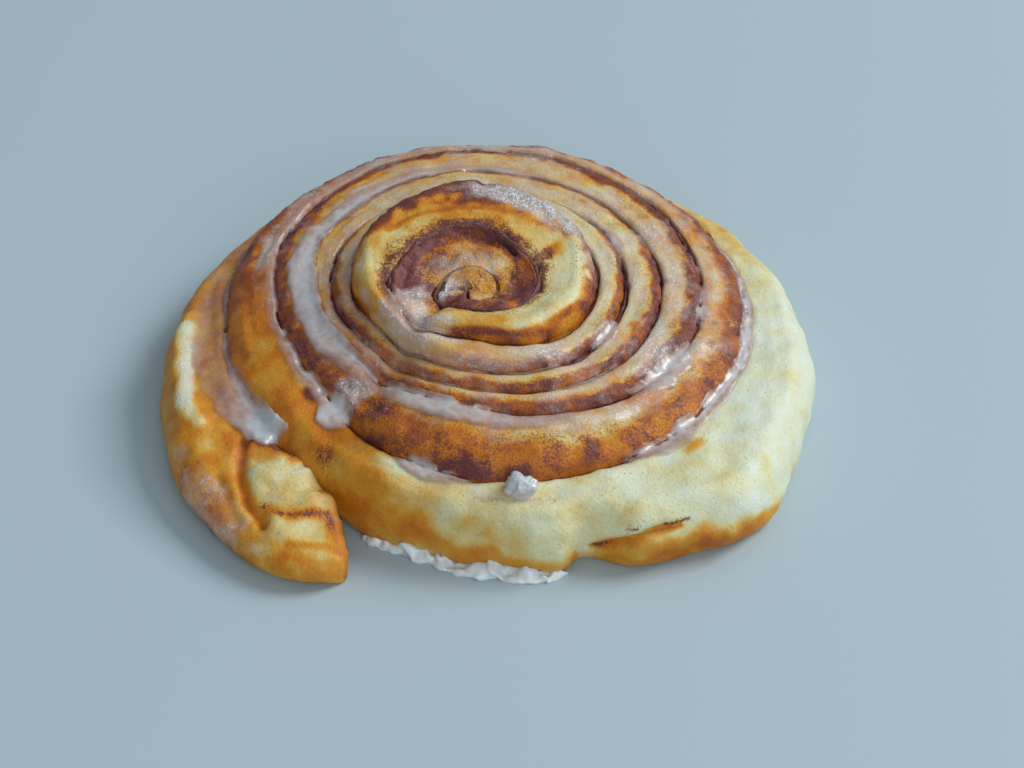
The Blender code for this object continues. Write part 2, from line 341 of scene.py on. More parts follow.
class Layer(Enum):
    """What the dough holds at each of its points."""

    BAKE = "bake"
    SPICE = "spice"
    WASH = "wash"


@dataclass(frozen=True)
class Spots:
    """Points on the strip: their laps, shares, places, and noise for ragged edges."""

    lap: Array
    share: Array
    flat: Array
    ragged: Array


@dataclass(frozen=True)
class Patch:
    """A soft-edged patch on the strip.

    Its lap and share are its middle, its length is half its reach along the strip in
    millimetres, its width half its reach across in shares, and its level what it brings
    a layer to, or how far it raises the dough in millimetres.
    """

    lap: float
    share: float
    length: float
    width: float
    level: float

    def cover(self, coil: Coil, spots: Spots) -> Array:
        """How far the patch covers some spots.

        Args:
            coil: The coil's shape.
            spots: The spots.

        Returns:
            0 to 1 for each.
        """
        outer, inner = coil.sides(np.array([self.lap]))
        arc = math.pi * float(outer[0] + inner[0])
        along = (spots.lap - self.lap) * arc / self.length
        far = np.hypot(along, (spots.share - self.share) / self.width)
        return smooth(1.25, 0.45, far + 0.45 * spots.ragged)


def from_path(spots: Array, ends: Array) -> Array:
    """How far spots are from a line through some points, all in a plane.

    Args:
        spots: The spots, with x and y on the last axis.
        ends: The line's points in order, alike.

    Returns:
        The distance of each spot.
    """
    far = np.full(len(spots), 99.0)
    for start, end in zip(ends[:-1], ends[1:], strict=True):
        way = end - start
        along = np.clip((spots - start) @ way / (way @ way), 0.0, 1.0)
        away = spots - start - along[:, None] * way
        far = np.minimum(far, np.hypot(away[:, 0], away[:, 1]))
    return far


@dataclass(frozen=True)
class Streak:
    """A soft-edged line on the strip, through places given by lap and share.

    Its width is half its breadth in millimetres, and its level is as a patch's.
    """

    path: Rows
    width: float
    level: float

    def lay_out(self, coil: Coil, knots: Array, spots: Spots) -> tuple[Array, Array, Array]:
        """Lays the line and the spots near it out in a plane.

        Args:
            coil: The coil's shape.
            knots: The line's places.
            spots: The spots.

        Returns:
            Which spots are near, where they lie, and where the line's places lie.
        """
        laps = knots[:, 0]
        outer, inner = coil.sides(laps)
        ends = coil.place(laps, outer - knots[:, 1] * (outer - inner), 0.0)[:, :2]
        near = (spots.lap > laps.min() - 0.06) & (spots.lap < laps.max() + 0.06)
        return near, spots.flat[near][:, :2], ends

    def cover(self, coil: Coil, spots: Spots) -> Array:
        """How far the streak covers some spots.

        Args:
            coil: The coil's shape.
            spots: The spots.

        Returns:
            0 to 1 for each.
        """
        near, places, ends = self.lay_out(coil, np.array(self.path), spots)
        far = from_path(places, ends) / self.width
        made = np.zeros(spots.lap.shape)
        made[near] = smooth(1.4, 0.3, far + 0.5 * spots.ragged[near])
        return made


class WallStreak(Streak):
    """A streak on the outer wall, through places given by lap and height."""

    def lay_out(self, coil: Coil, knots: Array, spots: Spots) -> tuple[Array, Array, Array]:
        """Lays the line and the spots near it out in a plane, as for a streak.

        Args:
            coil: The coil's shape.
            knots: The line's places.
            spots: The spots.

        Returns:
            Which spots are near, where they lie, and where the line's places lie.
        """
        arc = 2.0 * math.pi * float(coil.seam(knots[:, 0]).mean())
        near = (np.abs(spots.lap - knots[:, 0].mean()) < 0.12) & (spots.share < 0.4)
        places = np.stack([spots.lap[near] * arc, spots.flat[near][:, 2]], axis=-1)
        return near, places, knots * (arc, 1.0)


Marks = tuple[Patch | Streak, ...]


@dataclass(frozen=True)
class Baking:
    """How browned, spiced and glazed the strip is along its laps.

    The tables are in hundredths. Their rows are laps, and each row goes left, back left,
    back, back right, right, front right, front and front left.
    """

    coil: Coil
    top_bake: Parts = (
        (48, 54, 56, 34, 6, 12, 22, 54), (54, 60, 48, 44, 40, 42, 40, 52),
        (48, 46, 38, 34, 32, 34, 34, 46), (42, 40, 34, 32, 30, 34, 36, 40),
        (40, 38, 34, 30, 26, 32, 42, 40), (32, 40, 42, 32, 19, 25, 36, 33),
        (50, 46, 44, 42, 44, 48, 52, 50), (46, 44, 44, 46, 48, 48, 46, 46),
    )
    edge_bake: Parts = (
        (50, 54, 56, 34, 10, 16, 20, 48), (68, 84, 84, 74, 66, 56, 57, 62),
        (72, 78, 80, 76, 70, 62, 62, 68), (72, 76, 78, 72, 66, 62, 64, 68),
        (72, 74, 74, 70, 64, 60, 46, 46), (50, 78, 72, 70, 62, 50, 48, 40),
        (60, 62, 64, 62, 62, 60, 58, 58), (38, 38, 38, 40, 42, 42, 40, 38),
    )
    # How far in from its outer side the strip is browned, in tenths of a millimetre.
    edge_reach: Parts = (
        (30, 30, 30, 30, 30, 30, 30, 30), (60, 46, 34, 40, 50, 70, 85, 80),
        (40, 26, 22, 28, 34, 24, 20, 28), (17, 16, 16, 18, 22, 17, 14, 16),
        (16, 14, 14, 14, 16, 14, 13, 15), (9, 46, 96, 74, 24, 10, 11, 8),
        (44, 26, 22, 26, 46, 40, 40, 48), (10, 8, 8, 8, 8, 8, 8, 8),
    )
    # Spice on the browned edge, on the top, and in a band along the inner side.
    edge_spice: Parts = (
        (15, 20, 20, 10, 0, 5, 10, 15), (22, 72, 84, 76, 74, 66, 66, 58),
        (74, 78, 82, 92, 98, 78, 64, 70), (70, 74, 76, 82, 88, 76, 68, 68),
        (68, 70, 70, 76, 82, 66, 38, 38), (34, 92, 106, 100, 66, 36, 34, 30),
        (104, 104, 96, 96, 104, 104, 104, 104), (62, 62, 62, 62, 62, 62, 62, 62),
    )
    top_spice: Parts = (
        (12, 18, 20, 12, 0, 4, 8, 15), (12, 30, 36, 40, 42, 40, 40, 28),
        (26, 34, 36, 40, 42, 34, 30, 34), (34, 34, 34, 36, 38, 32, 30, 34),
        (42, 40, 36, 34, 36, 30, 30, 36), (12, 20, 22, 14, 6, 8, 14, 12),
        (70, 60, 50, 50, 66, 72, 74, 72), (62, 58, 55, 55, 58, 58, 60, 60),
    )
    seam_spice: Parts = (
        (15, 25, 30, 25, 15, 10, 10, 15), (25, 30, 34, 36, 40, 30, 25, 28),
        (30, 34, 36, 38, 36, 30, 30, 34), (40, 36, 34, 36, 40, 36, 36, 40),
        (56, 50, 42, 36, 36, 40, 46, 50), (96, 94, 90, 92, 90, 50, 40, 84),
        (50, 46, 44, 50, 66, 84, 84, 60), (30, 30, 30, 30, 30, 30, 30, 30),
    )
    # Thin glaze on the outer half and on the inner half.
    outer_wash: Parts = (
        (15, 25, 25, 15, 15, 15, 25, 15), (12, 30, 55, 45, 35, 22, 10, 12),
        (20, 40, 52, 44, 36, 40, 38, 34), (42, 50, 52, 46, 42, 44, 40, 46),
        (42, 50, 54, 50, 44, 48, 62, 62), (30, 25, 40, 60, 40, 20, 20, 30),
        (40, 30, 30, 30, 15, 20, 20, 40), (54, 54, 54, 52, 52, 52, 54, 54),
    )
    inner_wash: Parts = (
        (40, 50, 40, 35, 25, 25, 40, 30), (24, 64, 74, 66, 64, 64, 56, 28),
        (58, 66, 70, 72, 76, 70, 56, 56), (62, 66, 70, 72, 74, 68, 52, 56),
        (66, 68, 70, 70, 70, 60, 58, 64), (20, 20, 25, 30, 25, 22, 30, 25),
        (50, 56, 60, 56, 40, 36, 36, 44), (56, 56, 56, 56, 56, 56, 56, 56),
    )
    # The outer wall, upper and lower half, round lap 0 and on to the loose end's root.
    wall_high: tuple[float, ...] = (0.46, 0.50, 0.46, 0.26, 0.02, 0.10, 0.30, 0.50, 0.48)
    wall_low: tuple[float, ...] = (0.44, 0.48, 0.46, 0.28, 0.08, 0.42, 0.40, 0.54, 0.48)
    # Lines that more than one layer follows.
    FOLD: ClassVar[Rows] = (
        (-0.085, 0.78), (-0.098, 0.6), (-0.108, 0.48), (-0.123, 0.35), (-0.142, 0.25),
    )
    LOBE_EDGE: ClassVar[Rows] = ((-0.088, 0.9), (-0.104, 0.93), (-0.12, 0.97))
    RING_EDGE: ClassVar[Rows] = ((5.52, 0), (5.61, 0.02), (5.668, 0.02), (5.79, 0))
    HEART_CRACK: ClassVar[Rows] = ((6.325, 0.04), (6.356, 0.06), (6.385, 0.1))
    bake_marks: Marks = (
        # The loose end: its glaze bed, its pale ridge, the folds and the twisted lobe.
        Patch(-0.02, 0.75, 18, 0.28, 0.47), Patch(-0.066, 0.8, 8, 0.22, 0.46),
        # The pale ridge: cream dough, made paler along its crest as a painted highlight.
        Streak(((0.02, 0.38), (-0.005, 0.4), (-0.045, 0.31), (-0.062, 0.41)), 1.5, 0.18),
        Streak(((-0.073, 0.38), (-0.09, 0.42), (-0.1, 0.5)), 1.6, 0.44),
        Patch(-0.105, 0.08, 16, 0.26, 0.52), Patch(-0.13, 0.75, 11, 0.46, 0.21),
        Patch(-0.16, 0.45, 7, 0.5, 0.24), Streak(FOLD, 1.2, 0.58), Streak(LOBE_EDGE, 1.2, 0.56),
        Streak(((-0.136, 0.4), (-0.15, 0.46), (-0.166, 0.78)), 1.5, 0.52),
        Patch(-0.18, 0.84, 4, 0.34, 0.6),
        Streak(((-0.16, 0.2), (-0.172, 0.34), (-0.18, 0.6)), 0.9, 0.5),
        # The golden strip and the crease.
        Patch(1.11, 0.34, 12, 0.46, 0.72), Patch(1.01, 0.28, 12, 0.36, 0.6),
        Patch(0.96, 0.1, 9, 0.16, 0.52), Patch(0.955, 0.5, 14, 0.36, 0.5),
        Patch(0.93, 0.86, 5, 0.1, 0.34), Patch(0.91, 0.84, 2.6, 0.18, 0.8),
        Patch(1.925, 0.24, 11, 0.22, 0.66),
        # The front and the right.
        Patch(0.782, 0.82, 12, 0.16, 0.18), Patch(0.83, 0.2, 11, 0.3, 0.49),
        WallStreak(((0.85, 9), (0.8, 7.5), (0.77, 5), (0.74, 3)), 3.2, 0.5),
        WallStreak(((0.745, 2.4), (0.69, 2.4)), 2.2, 0.48), Patch(0.715, 0.32, 12, 0.14, 0.19),
        Patch(0.665, 0.7, 12, 0.3, 0.1),
        WallStreak(((0.67, 3.4), (0.64, 5), (0.61, 4.4), (0.59, 3)), 3.6, 0.48),
        WallStreak(((0.655, 2.4), (0.63, 3.6), (0.605, 3.4)), 2.2, 0.6),
        WallStreak(((0.678, 4.4), (0.666, 7.2), (0.656, 9), (0.64, 9.6)), 0.9, 0.6),
        Patch(0.603, 0.78, 3.4, 0.07, 0.36), Patch(1.77, 0.3, 18, 0.26, 0.6),
        Patch(1.74, 0.03, 26, 0.06, 0.62), Patch(1.66, 0.6, 14, 0.28, 0.3),
        Patch(1.457, 0.86, 5, 0.12, 0.56), Patch(2.401, 0.7, 4, 0.2, 0.56),
        # The heart.
        Patch(5.02, 0.5, 8, 0.44, 0.26), Patch(5.11, 0.7, 4, 0.25, 0.26),
        Streak(((5.12, 0.5), (5.17, 0.62), (5.225, 0.7), (5.29, 0.68)), 0.9, 0.62),
        Streak(((5.29, 0.66), (5.34, 0.58), (5.385, 0.46)), 0.9, 0.56),
        Patch(5.43, 0.62, 3.2, 0.16, 0.62), Patch(5.48, 0.5, 8, 0.36, 0.17),
        Patch(5.56, 0.55, 7, 0.36, 0.22), Patch(4.88, 0.4, 10, 0.6, 0.3),
        Patch(4.7, 0.06, 12, 0.1, 0.62), Patch(4.9, 0.4, 9, 0.44, 0.44),
        Streak(RING_EDGE, 0.55, 0.66), Patch(5.76, 0.5, 9, 0.34, 0.4),
    )
    spice_marks: Marks = (
        # The loose end.
        Patch(-0.105, 0.06, 15, 0.24, 0.56), Streak(LOBE_EDGE, 0.8, 0.95),
        Streak(((-0.133, 0.42), (-0.147, 0.43), (-0.158, 0.59)), 1, 0.82),
        Streak(((-0.158, 0.59), (-0.166, 0.8), (-0.173, 0.79)), 0.9, 0.98),
        # The golden strip and the crease.
        Patch(1.115, 0.24, 12, 0.24, 0.72), Patch(0.91, 0.84, 2.2, 0.14, 1),
        Patch(0.862, 0.3, 3, 0.25, 0.7), Patch(1.925, 0.28, 11, 0.24, 0.84),
        Patch(1.884, 0.5, 4, 0.5, 0.85),
        # The front and the right.
        WallStreak(((0.678, 4.2), (0.672, 5.6)), 0.7, 0.9),
        WallStreak(((0.646, 9.7), (0.64, 10), (0.635, 10.6)), 0.6, 0.95),
        WallStreak(((0.665, 9.6), (0.659, 10.4)), 0.6, 0.8), Patch(0.736, 0.54, 2.8, 0.1, 0.75),
        Patch(0.699, 0.55, 4.5, 0.06, 0.66), Patch(1.769, 0.35, 2.6, 0.14, 0.84),
        Patch(1.725, 0.1, 9, 0.1, 0.78), Patch(1.842, 0.5, 6, 0.3, 0.8),
        Patch(0.398, 0.94, 4, 0.1, 0.95), Patch(2.465, 0.2, 4, 0.2, 1),
        Patch(1.5, 0.98, 3.5, 0.1, 0.95), Patch(2.54, 0.3, 5, 0.25, 0.95),
        Patch(1.579, 0.32, 3, 0.12, 1), Patch(3.584, 0.14, 3, 0.2, 1),
        Patch(3.65, 0.24, 8, 0.24, 0.84), Patch(4.443, 0.06, 3.5, 0.2, 1),
        # The heart.
        Patch(5.425, 0.78, 2.6, 0.14, 0.96), Patch(4.893, 0.5, 2.6, 0.3, 0.95),
        Patch(4.64, 0.2, 4, 0.3, 0.9), Patch(5.985, 0.5, 5, 0.8, 1),
        Patch(5.06, 0.92, 9, 0.22, 0.96), Patch(4.96, 0.96, 7, 0.14, 0.94),
        Patch(6.89, 0.5, 3, 0.5, 0.66), Patch(7.3, 0.5, 5, 0.9, 0.6),
        Patch(6.3, 0.62, 3, 0.3, 0.84), Patch(5.885, 0.2, 7, 0.5, 0.74),
        Patch(4.93, 0.7, 6, 0.3, 0.66), Streak(RING_EDGE, 0.5, 0.74), Patch(6.48, 0.4, 4, 0.4, 1),
        Patch(6.64, 0.3, 4, 0.4, 1), Patch(6.81, 0.1, 5, 0.34, 1), Patch(7.13, 0.3, 2.4, 0.6, 0.85),
        Streak(HEART_CRACK, 0.5, 1.5), Streak(((6.985, 0.96), (7, 0.04), (7.04, 0.06)), 0.5, 1.5),
    )
    wash_marks: Marks = (
        # The loose end.
        # Glaze along the pale ridge, whitened partly as a painted highlight.
        Streak(((0.01, 0.5), (-0.014, 0.42), (-0.045, 0.36)), 1.4, 0.75),
        Patch(-0.105, 0.08, 16, 0.26, 0.58),
        # The golden strip and the crease.
        Patch(0.945, 0.5, 13, 0.5, 0.05), Patch(1.09, 0.75, 14, 0.22, 0.8),
        Patch(1.884, 0.45, 4.5, 0.6, 0.8),
        # The front and the right.
        Patch(2.52, 0.84, 8, 0.25, 0.95), Patch(2.56, 0.45, 8, 0.4, 0.85),
        Patch(1.55, 0.9, 9, 0.2, 1), Patch(1.62, 0.72, 6, 0.12, 0.85),
        Patch(4.62, 0.6, 9, 0.5, 0.85), Patch(0.59, 0.97, 5, 0.1, 0.85),
        Patch(0.7, 0.62, 20, 0.18, 0.6),
        # The heart.
        Patch(5.31, 0.34, 11, 0.2, 1.1), Patch(5.4, 0.22, 7, 0.16, 0.95),
        Patch(4.83, 0.8, 9, 0.26, 0.9), Patch(7, 0.2, 2.2, 0.5, 1.05),
        Patch(6.24, 0.7, 5, 0.5, 0.66), Patch(5.96, 0.56, 3.6, 0.44, 0.84),
        Patch(5.88, 0.15, 7, 0.45, 0.9), Patch(4.9, 0.4, 10, 0.44, 0.92),
    )
    lift_marks: Marks = (
        # The loose end.
        Patch(0, 0.66, 20, 0.3, -1.1), Patch(-0.06, 0.72, 9, 0.24, -0.6),
        Streak(((0.03, 0.32), (-0.014, 0.3), (-0.045, 0.31), (-0.06, 0.4)), 2.2, 0.7),
        Patch(-0.125, 0.8, 9, 0.32, 1.9), Patch(-0.152, 0.5, 5, 0.34, 1), Streak(FOLD, 1.2, -1.5),
        Streak(((-0.128, 0.6), (-0.14, 0.72), (-0.15, 0.92)), 0.8, -0.6),
        Streak(((-0.108, 0.7), (-0.118, 0.84), (-0.128, 0.96)), 0.8, -0.5),
        Streak(((-0.1, 0.3), (-0.112, 0.24), (-0.13, 0.12)), 1, -0.6),
        # The front and the right.
        WallStreak(((0.66, 6), (0.64, 6.6), (0.62, 5.4)), 2.2, 0.7),
        WallStreak(((0.678, 4.4), (0.666, 7.2), (0.656, 9), (0.646, 9.8)), 0.8, -1.3),
        # The heart.
        Streak(HEART_CRACK, 0.45, -1.4),
        Streak(((6.965, 0.9), (7, 0.04), (7.04, 0.06)), 0.45, -1.4),
    )

    def read(self, rows: Parts, lap: Array, parts: float = 100.0) -> Array:
        """A value along the strip from its rows, which hold it in parts."""
        return through(np.ravel(rows) / parts, len(rows[0]) * np.maximum(lap, 0.0))

    def lay(self, marks: Marks, start: Array, spots: Spots) -> Array:
        """Lays marks over a layer.

        Args:
            marks: The marks, in order.
            start: The layer without them.
            spots: The spots that it is given at.

        Returns:
            The layer with them.
        """
        made = start
        for mark in marks:
            made = mix(made, mark.level, mark.cover(self.coil, spots))
        return made

    def raised(self, start: Array, spots: Spots) -> Array:
        """Lifts and dents the dough.

        Args:
            start: How far it stands out without them.
            spots: The spots that this is given at.

        Returns:
            How far it stands out with them.
        """
        made = start
        for mark in self.lift_marks:
            made = made + mark.cover(self.coil, spots) * mark.level
        return made

    def layers(self, lap: Array, share: Array, points: Array) -> dict[str, Array]:
        """The bake, spice and wash of points on the strip.

        Args:
            lap: The lap of each point.
            share: The share of each point.
            points: The points in millimetres.

        Returns:
            Each layer's values by its name.
        """
        ragged = noise_at(points, 5.0, 3.0) + 0.6 * noise_at(points, 2.2, 4.0)
        spots = Spots(lap, share, points, ragged)
        outer, inner = self.coil.sides(lap)
        across = share * (outer - inner)
        reach = self.read(self.edge_reach, lap, 10.0)
        edge = smooth(1.35, 0.55, across / reach + 0.8 * ragged)
        height = points[..., 2]
        steps = 8.0 * np.clip(lap, 0.0, 1.0)
        low, high = through(self.wall_low, steps), through(self.wall_high, steps)
        wall = mix(low, high, smooth(0.5, 7.5, height + 4.0 * ragged))
        on_wall = np.where(lap < 0.92, smooth(13.5, 10.0, height) * smooth(0.5, 0.25, share), 0.0)
        bake = mix(self.read(self.top_bake, lap), self.read(self.edge_bake, lap), edge)
        bake = self.lay(self.bake_marks, mix(bake, wall, on_wall), spots)
        bake = bake + 0.12 * noise_at(points, 9.0, 5.0) + 0.09 * noise_at(points, 3.5, 6.0)
        spice = mix(self.read(self.top_spice, lap), self.read(self.edge_spice, lap), edge)
        band = smooth(3.2, 1.2, outer - inner - across + 3.0 * ragged)
        spice = np.maximum(spice, mix(spice, self.read(self.seam_spice, lap), band))
        spice = self.lay(self.spice_marks, spice * (1.0 - 0.7 * on_wall), spots)
        inside = smooth(0.15, 0.75, share)
        wash = mix(self.read(self.outer_wash, lap), self.read(self.inner_wash, lap), inside)
        wash = self.lay(self.wash_marks, wash * (1.0 - 0.6 * on_wall), spots)
        return {
            Layer.BAKE.value: bake,
            Layer.SPICE.value: spice + 0.5 * ragged * smooth(0.1, 0.5, spice),
            Layer.WASH.value: wash + 0.25 * noise_at(points, 6.0, 7.0),
        }


@dataclass(frozen=True)
class Relief:
    """The unevenness of real dough: how it wanders and how its skin swells and wrinkles."""

    box: tuple[Vector, Vector]
    wander: float = 0.8
    wander_size: float = 15.0
    swell: float = 0.65
    swell_size: float = 8.0
    pucker: float = 0.24
    pucker_size: float = 3.1
    wrinkle: float = 0.30
    skin: float = 0.09
    clot: float = 0.75
    margin: float = 0.8

    def warp(self, points: Array) -> Array:
        """Moves points sideways by a smooth noise that depends on their place alone.

        Args:
            points: The points in millimetres.

        Returns:
            The moved points.
        """
        flat = points * (1.0, 1.0, 0.0)
        moved = points.copy()
        for axis in range(2):
            moved[..., axis] += self.wander * noise_at(flat, self.wander_size, axis + 1.0)
        return self.keep_inside(moved)

    def keep_inside(self, points: Array) -> Array:
        """Eases points back that would leave the solids' box.

        Args:
            points: The points in millimetres.

        Returns:
            The points inside it.
        """
        made = points.copy()
        low, high = (np.array(corner) / MM for corner in self.box)
        for axis in range(3):
            value = made[..., axis]
            over = np.maximum(value - (high[axis] - self.margin), 0.0)
            value = value - over + self.margin * np.tanh(over / self.margin)
            if axis < 2:
                under = np.maximum(low[axis] + self.margin - value, 0.0)
                value = value + under - self.margin * np.tanh(under / self.margin)
            made[..., axis] = np.maximum(value, low[axis])
        return made

    def lift(self, points: Array, along: Array, across: Array, spice: Array) -> Array:
        """How far the skin stands out at each point.

        Args:
            points: The points in millimetres.
            along: How far along the strip each lies.
            across: How far round its section each lies.
            spice: How much cinnamon lies there.

        Returns:
            The heights in millimetres.
        """
        stretched = np.stack([along / 9.0, across / 1.9, np.zeros_like(along)], axis=-1)
        return (
            self.swell * noise_at(points, self.swell_size, 11.0)
            + self.pucker * noise_at(points, self.pucker_size, 12.0)
            + self.wrinkle * noise_at(stretched, 1.0, 13.0)
            + self.skin * noise_at(points, 1.5, 14.0)
            + self.clot * smooth(0.6, 1.0, spice) * noise_at(points, 1.7, 15.0)
        )


class Value:
    """A number that a node tree works out, with Python's operators."""

    def __init__(self, paint: "Paint", socket: bpy.types.NodeSocket) -> None:
        """Wraps a socket of the paint's tree."""
        self.paint = paint
        self.socket = socket

    def __add__(self, other: "Value | float") -> "Value":
        """This plus the other."""
        return self.paint.sum("ADD", self, other)

    def __sub__(self, other: "Value | float") -> "Value":
        """This minus the other."""
        return self.paint.sum("SUBTRACT", self, other)

    def __rsub__(self, other: float) -> "Value":
        """The other minus this."""
        return self.paint.sum("SUBTRACT", other, self)

    def __mul__(self, other: "Value | float") -> "Value":
        """This times the other."""
        return self.paint.sum("MULTIPLY", self, other)

    __radd__ = __add__
    __rmul__ = __mul__


class Paint:
    """A material's node tree."""

    def __init__(self, name: str) -> None:
        """Starts a material of this name with its shader."""
        self.material = bpy.data.materials.new(name)
        self.material.use_nodes = True
        self.tree = self.material.node_tree
        self.shader = self.tree.nodes["Principled BSDF"]
        self.place = self.node("ShaderNodeTexCoord").outputs["Object"]

    def node(
        self,
        kind: str,
        settings: dict[str, object] | None = None,
        inputs: dict[str | int, object] | None = None,
    ) -> bpy.types.Node:
        """Adds a node.

        Args:
            kind: The node's type.
            settings: Its own settings, which are set first.
            inputs: A value, a socket or a Value for each input by name or number.

        Returns:
            The node.
        """
        made = self.tree.nodes.new(kind)
        for key, value in (settings or {}).items():
            setattr(made, key, value)
        for key, value in (inputs or {}).items():
            self.feed(made.inputs[key], value)
        return made

    def feed(self, socket: bpy.types.NodeSocket, value: object) -> None:
        """Gives an input what it reads.

        Args:
            socket: The input.
            value: A Value or a socket to link, or a plain value to set.
        """
        if isinstance(value, Value):
            value = value.socket
        if isinstance(value, bpy.types.NodeSocket):
            self.tree.links.new(value, socket)
        elif isinstance(value, tuple) and socket.type == "RGBA":
            socket.default_value = (*value, 1.0)
        else:
            socket.default_value = value

    def sum(self, operation: str, *values: "Value | float") -> Value:
        """Works out numbers with a Math node."""
        made = self.node("ShaderNodeMath", {"operation": operation}, dict(enumerate(values)))
        return Value(self, made.outputs[0])

    def layer(self, name: str) -> Value:
        """Reads a number that the mesh holds at its points."""
        made = self.node("ShaderNodeAttribute", {"attribute_name": name})
        return Value(self, made.outputs["Fac"])

    def cloud(self, size: float, detail: float, rough: float) -> Value:
        """Noise with lumps of a size.

        Args:
            size: The lumps' size in millimetres.
            detail: How many finer octaves it holds.
            rough: How strong each finer octave is.

        Returns:
            The noise, about 0.25 to 0.75.
        """
        scale = 1.0 / (size * MM)
        inputs = {"Vector": self.place, "Scale": scale, "Detail": detail, "Roughness": rough}
        made = self.node("ShaderNodeTexNoise", {"noise_dimensions": "3D"}, inputs)
        return Value(self, made.outputs["Fac"])

    def rise(self, value: Value, low: float, high: float) -> Value:
        """A smooth rise.

        Args:
            value: What is read.
            low: Where the rise starts.
            high: Where it ends.

        Returns:
            0 below low, 1 above high, and a smooth rise between them.
        """
        made = self.node(
            "ShaderNodeMapRange",
            {"interpolation_type": "SMOOTHSTEP"},
            {"Value": value, "From Min": low, "From Max": high},
        )
        return Value(self, made.outputs["Result"])

    def blend(self, factor: Value | float, first: object, second: object) -> object:
        """Mixes two colours."""
        made = self.node(
            "ShaderNodeMix", {"data_type": "RGBA"}, {0: factor, 6: first, 7: second}
        )
        return made.outputs[2]

    def ramp(self, value: Value, stops: tuple[tuple[float, Colour], ...]) -> object:
        """A colour from a scale of colours.

        Args:
            value: The place on the scale.
            stops: The scale's places and their colours.

        Returns:
            The colour's socket.
        """
        made = self.node("ShaderNodeValToRGB", {}, {"Fac": value})
        elements = made.color_ramp.elements
        while len(elements) < len(stops):
            elements.new(0.5)
        for element, (position, colour) in zip(elements, stops, strict=True):
            element.position = position
            element.color = (*colour, 1.0)
        return made.outputs["Color"]

    def bump(self, height: Value, distance: float, strength: float) -> None:
        """Roughens the surface by a height that is given in distances of millimetres."""
        inputs = {"Height": height, "Distance": distance * MM, "Strength": strength}
        made = self.node("ShaderNodeBump", {}, inputs)
        self.feed(self.shader.inputs["Normal"], made.outputs["Normal"])

    def set(self, **values: object) -> None:
        """Feeds the shader's own inputs, named with _ for spaces."""
        for key, value in values.items():
            self.feed(self.shader.inputs[key.replace("_", " ")], value)


@dataclass(frozen=True)
class BakedDough:
    """The dough's crust, from pale crumb to deep brown, with spice in it and glaze on it."""

    scale: tuple[tuple[float, Colour], ...] = (
        (0.00, (0.68, 0.76, 0.66)),
        (0.14, (0.68, 0.69, 0.45)),
        (0.28, (0.66, 0.51, 0.19)),
        (0.42, (0.65, 0.32, 0.034)),
        (0.56, (0.57, 0.185, 0.008)),
        (0.70, (0.38, 0.095, 0.012)),
        (0.86, (0.22, 0.048, 0.014)),
        (1.00, (0.10, 0.024, 0.014)),
    )
    spice: Colour = (0.11, 0.030, 0.030)
    dusting: Colour = (0.30, 0.085, 0.030)
    stain: Colour = (0.175, 0.056, 0.072)
    glaze: Colour = (0.60, 0.57, 0.57)
    # Near-white for the glaze's flecks: sugar crystals, and painted glints that stand in for the
    # glaze's sparkle.
    crystal_and_glint_white: Colour = (0.80, 0.84, 0.88)

    def make(self) -> bpy.types.Material:
        """The crust's material."""
        paint = Paint("baked_dough")
        bake, spice, wash = (paint.layer(layer.value) for layer in Layer)
        broad, fine = paint.cloud(4.5, 5.0, 0.60), paint.cloud(0.9, 3.0, 0.60)
        flecks = paint.cloud(0.5, 2.0, 0.6)
        spiced = paint.rise(spice + (broad - 0.5) * 0.6, 0.35, 0.90)
        tone = bake + (broad - 0.5) * 0.34 + (fine - 0.5) * 0.14 + spiced * 0.08
        crust = paint.ramp(tone, self.scale)
        patchy = spice + (broad - 0.5) * 0.8 + (fine - 0.5) * 1.0 + (flecks - 0.5) * 0.6
        smear = paint.rise(patchy, 0.68, 1.02)
        crust = paint.blend(smear * 0.80, crust, self.stain)
        grains = paint.rise(flecks + spice * 0.26, 0.62, 0.80)
        crust = paint.blend(grains * 0.66, crust, paint.blend(spiced, self.dusting, self.spice))
        sugar = paint.cloud(2.4, 6.0, 0.70)
        film = paint.rise(wash + (sugar - 0.5) * 0.9, 0.36, 1.00)
        crust = paint.blend(film * 0.62, crust, self.glaze)
        # White flecks in the glaze film: partly sugar crystals, partly painted glints in the base
        # colour.
        glint = flecks + (fine - 0.5) * 0.5 + (wash - 0.6) * 0.14
        crystal_and_glint_flecks = paint.rise(glint, 0.55, 0.66) * film
        crust = paint.blend(crystal_and_glint_flecks * 0.75, crust, self.crystal_and_glint_white)
        paint.set(Base_Color=crust, Roughness=0.50 - film * 0.24, Specular_IOR_Level=0.32)
        paint.set(Coat_Weight=film * 0.5, Coat_Roughness=0.2)
        relief = (broad - 0.5) * 0.4 + (fine - 0.5) * 0.40 + (flecks - 0.5) * 0.12
        paint.bump(relief + film * 0.10 + grains * 0.10 + crystal_and_glint_flecks * 0.12, 0.8, 0.6)
        return paint.material


@dataclass(frozen=True)
class CinnamonPaste:
    """The filling: dark, grainy and a little moist."""

    dark: Colour = (0.070, 0.020, 0.024)
    light: Colour = (0.24, 0.090, 0.085)
    heart: Colour = (0.52, 0.30, 0.15)

    def make(self) -> bpy.types.Material:
        """The filling's material."""
        paint = Paint("cinnamon_paste")
        lumps, grain = paint.cloud(1.6, 4.0, 0.65), paint.cloud(0.5, 2.0, 0.6)
        tone = paint.rise((lumps + grain) * 0.5, 0.36, 0.64)
        colour = paint.blend(tone, self.dark, self.light)
        paint.set(Base_Color=paint.blend(paint.layer("pale"), colour, self.heart))
        paint.set(Roughness=0.75 - lumps * 0.5)
        paint.bump(lumps + grain * 0.5, 0.8, 0.9)
        return paint.material


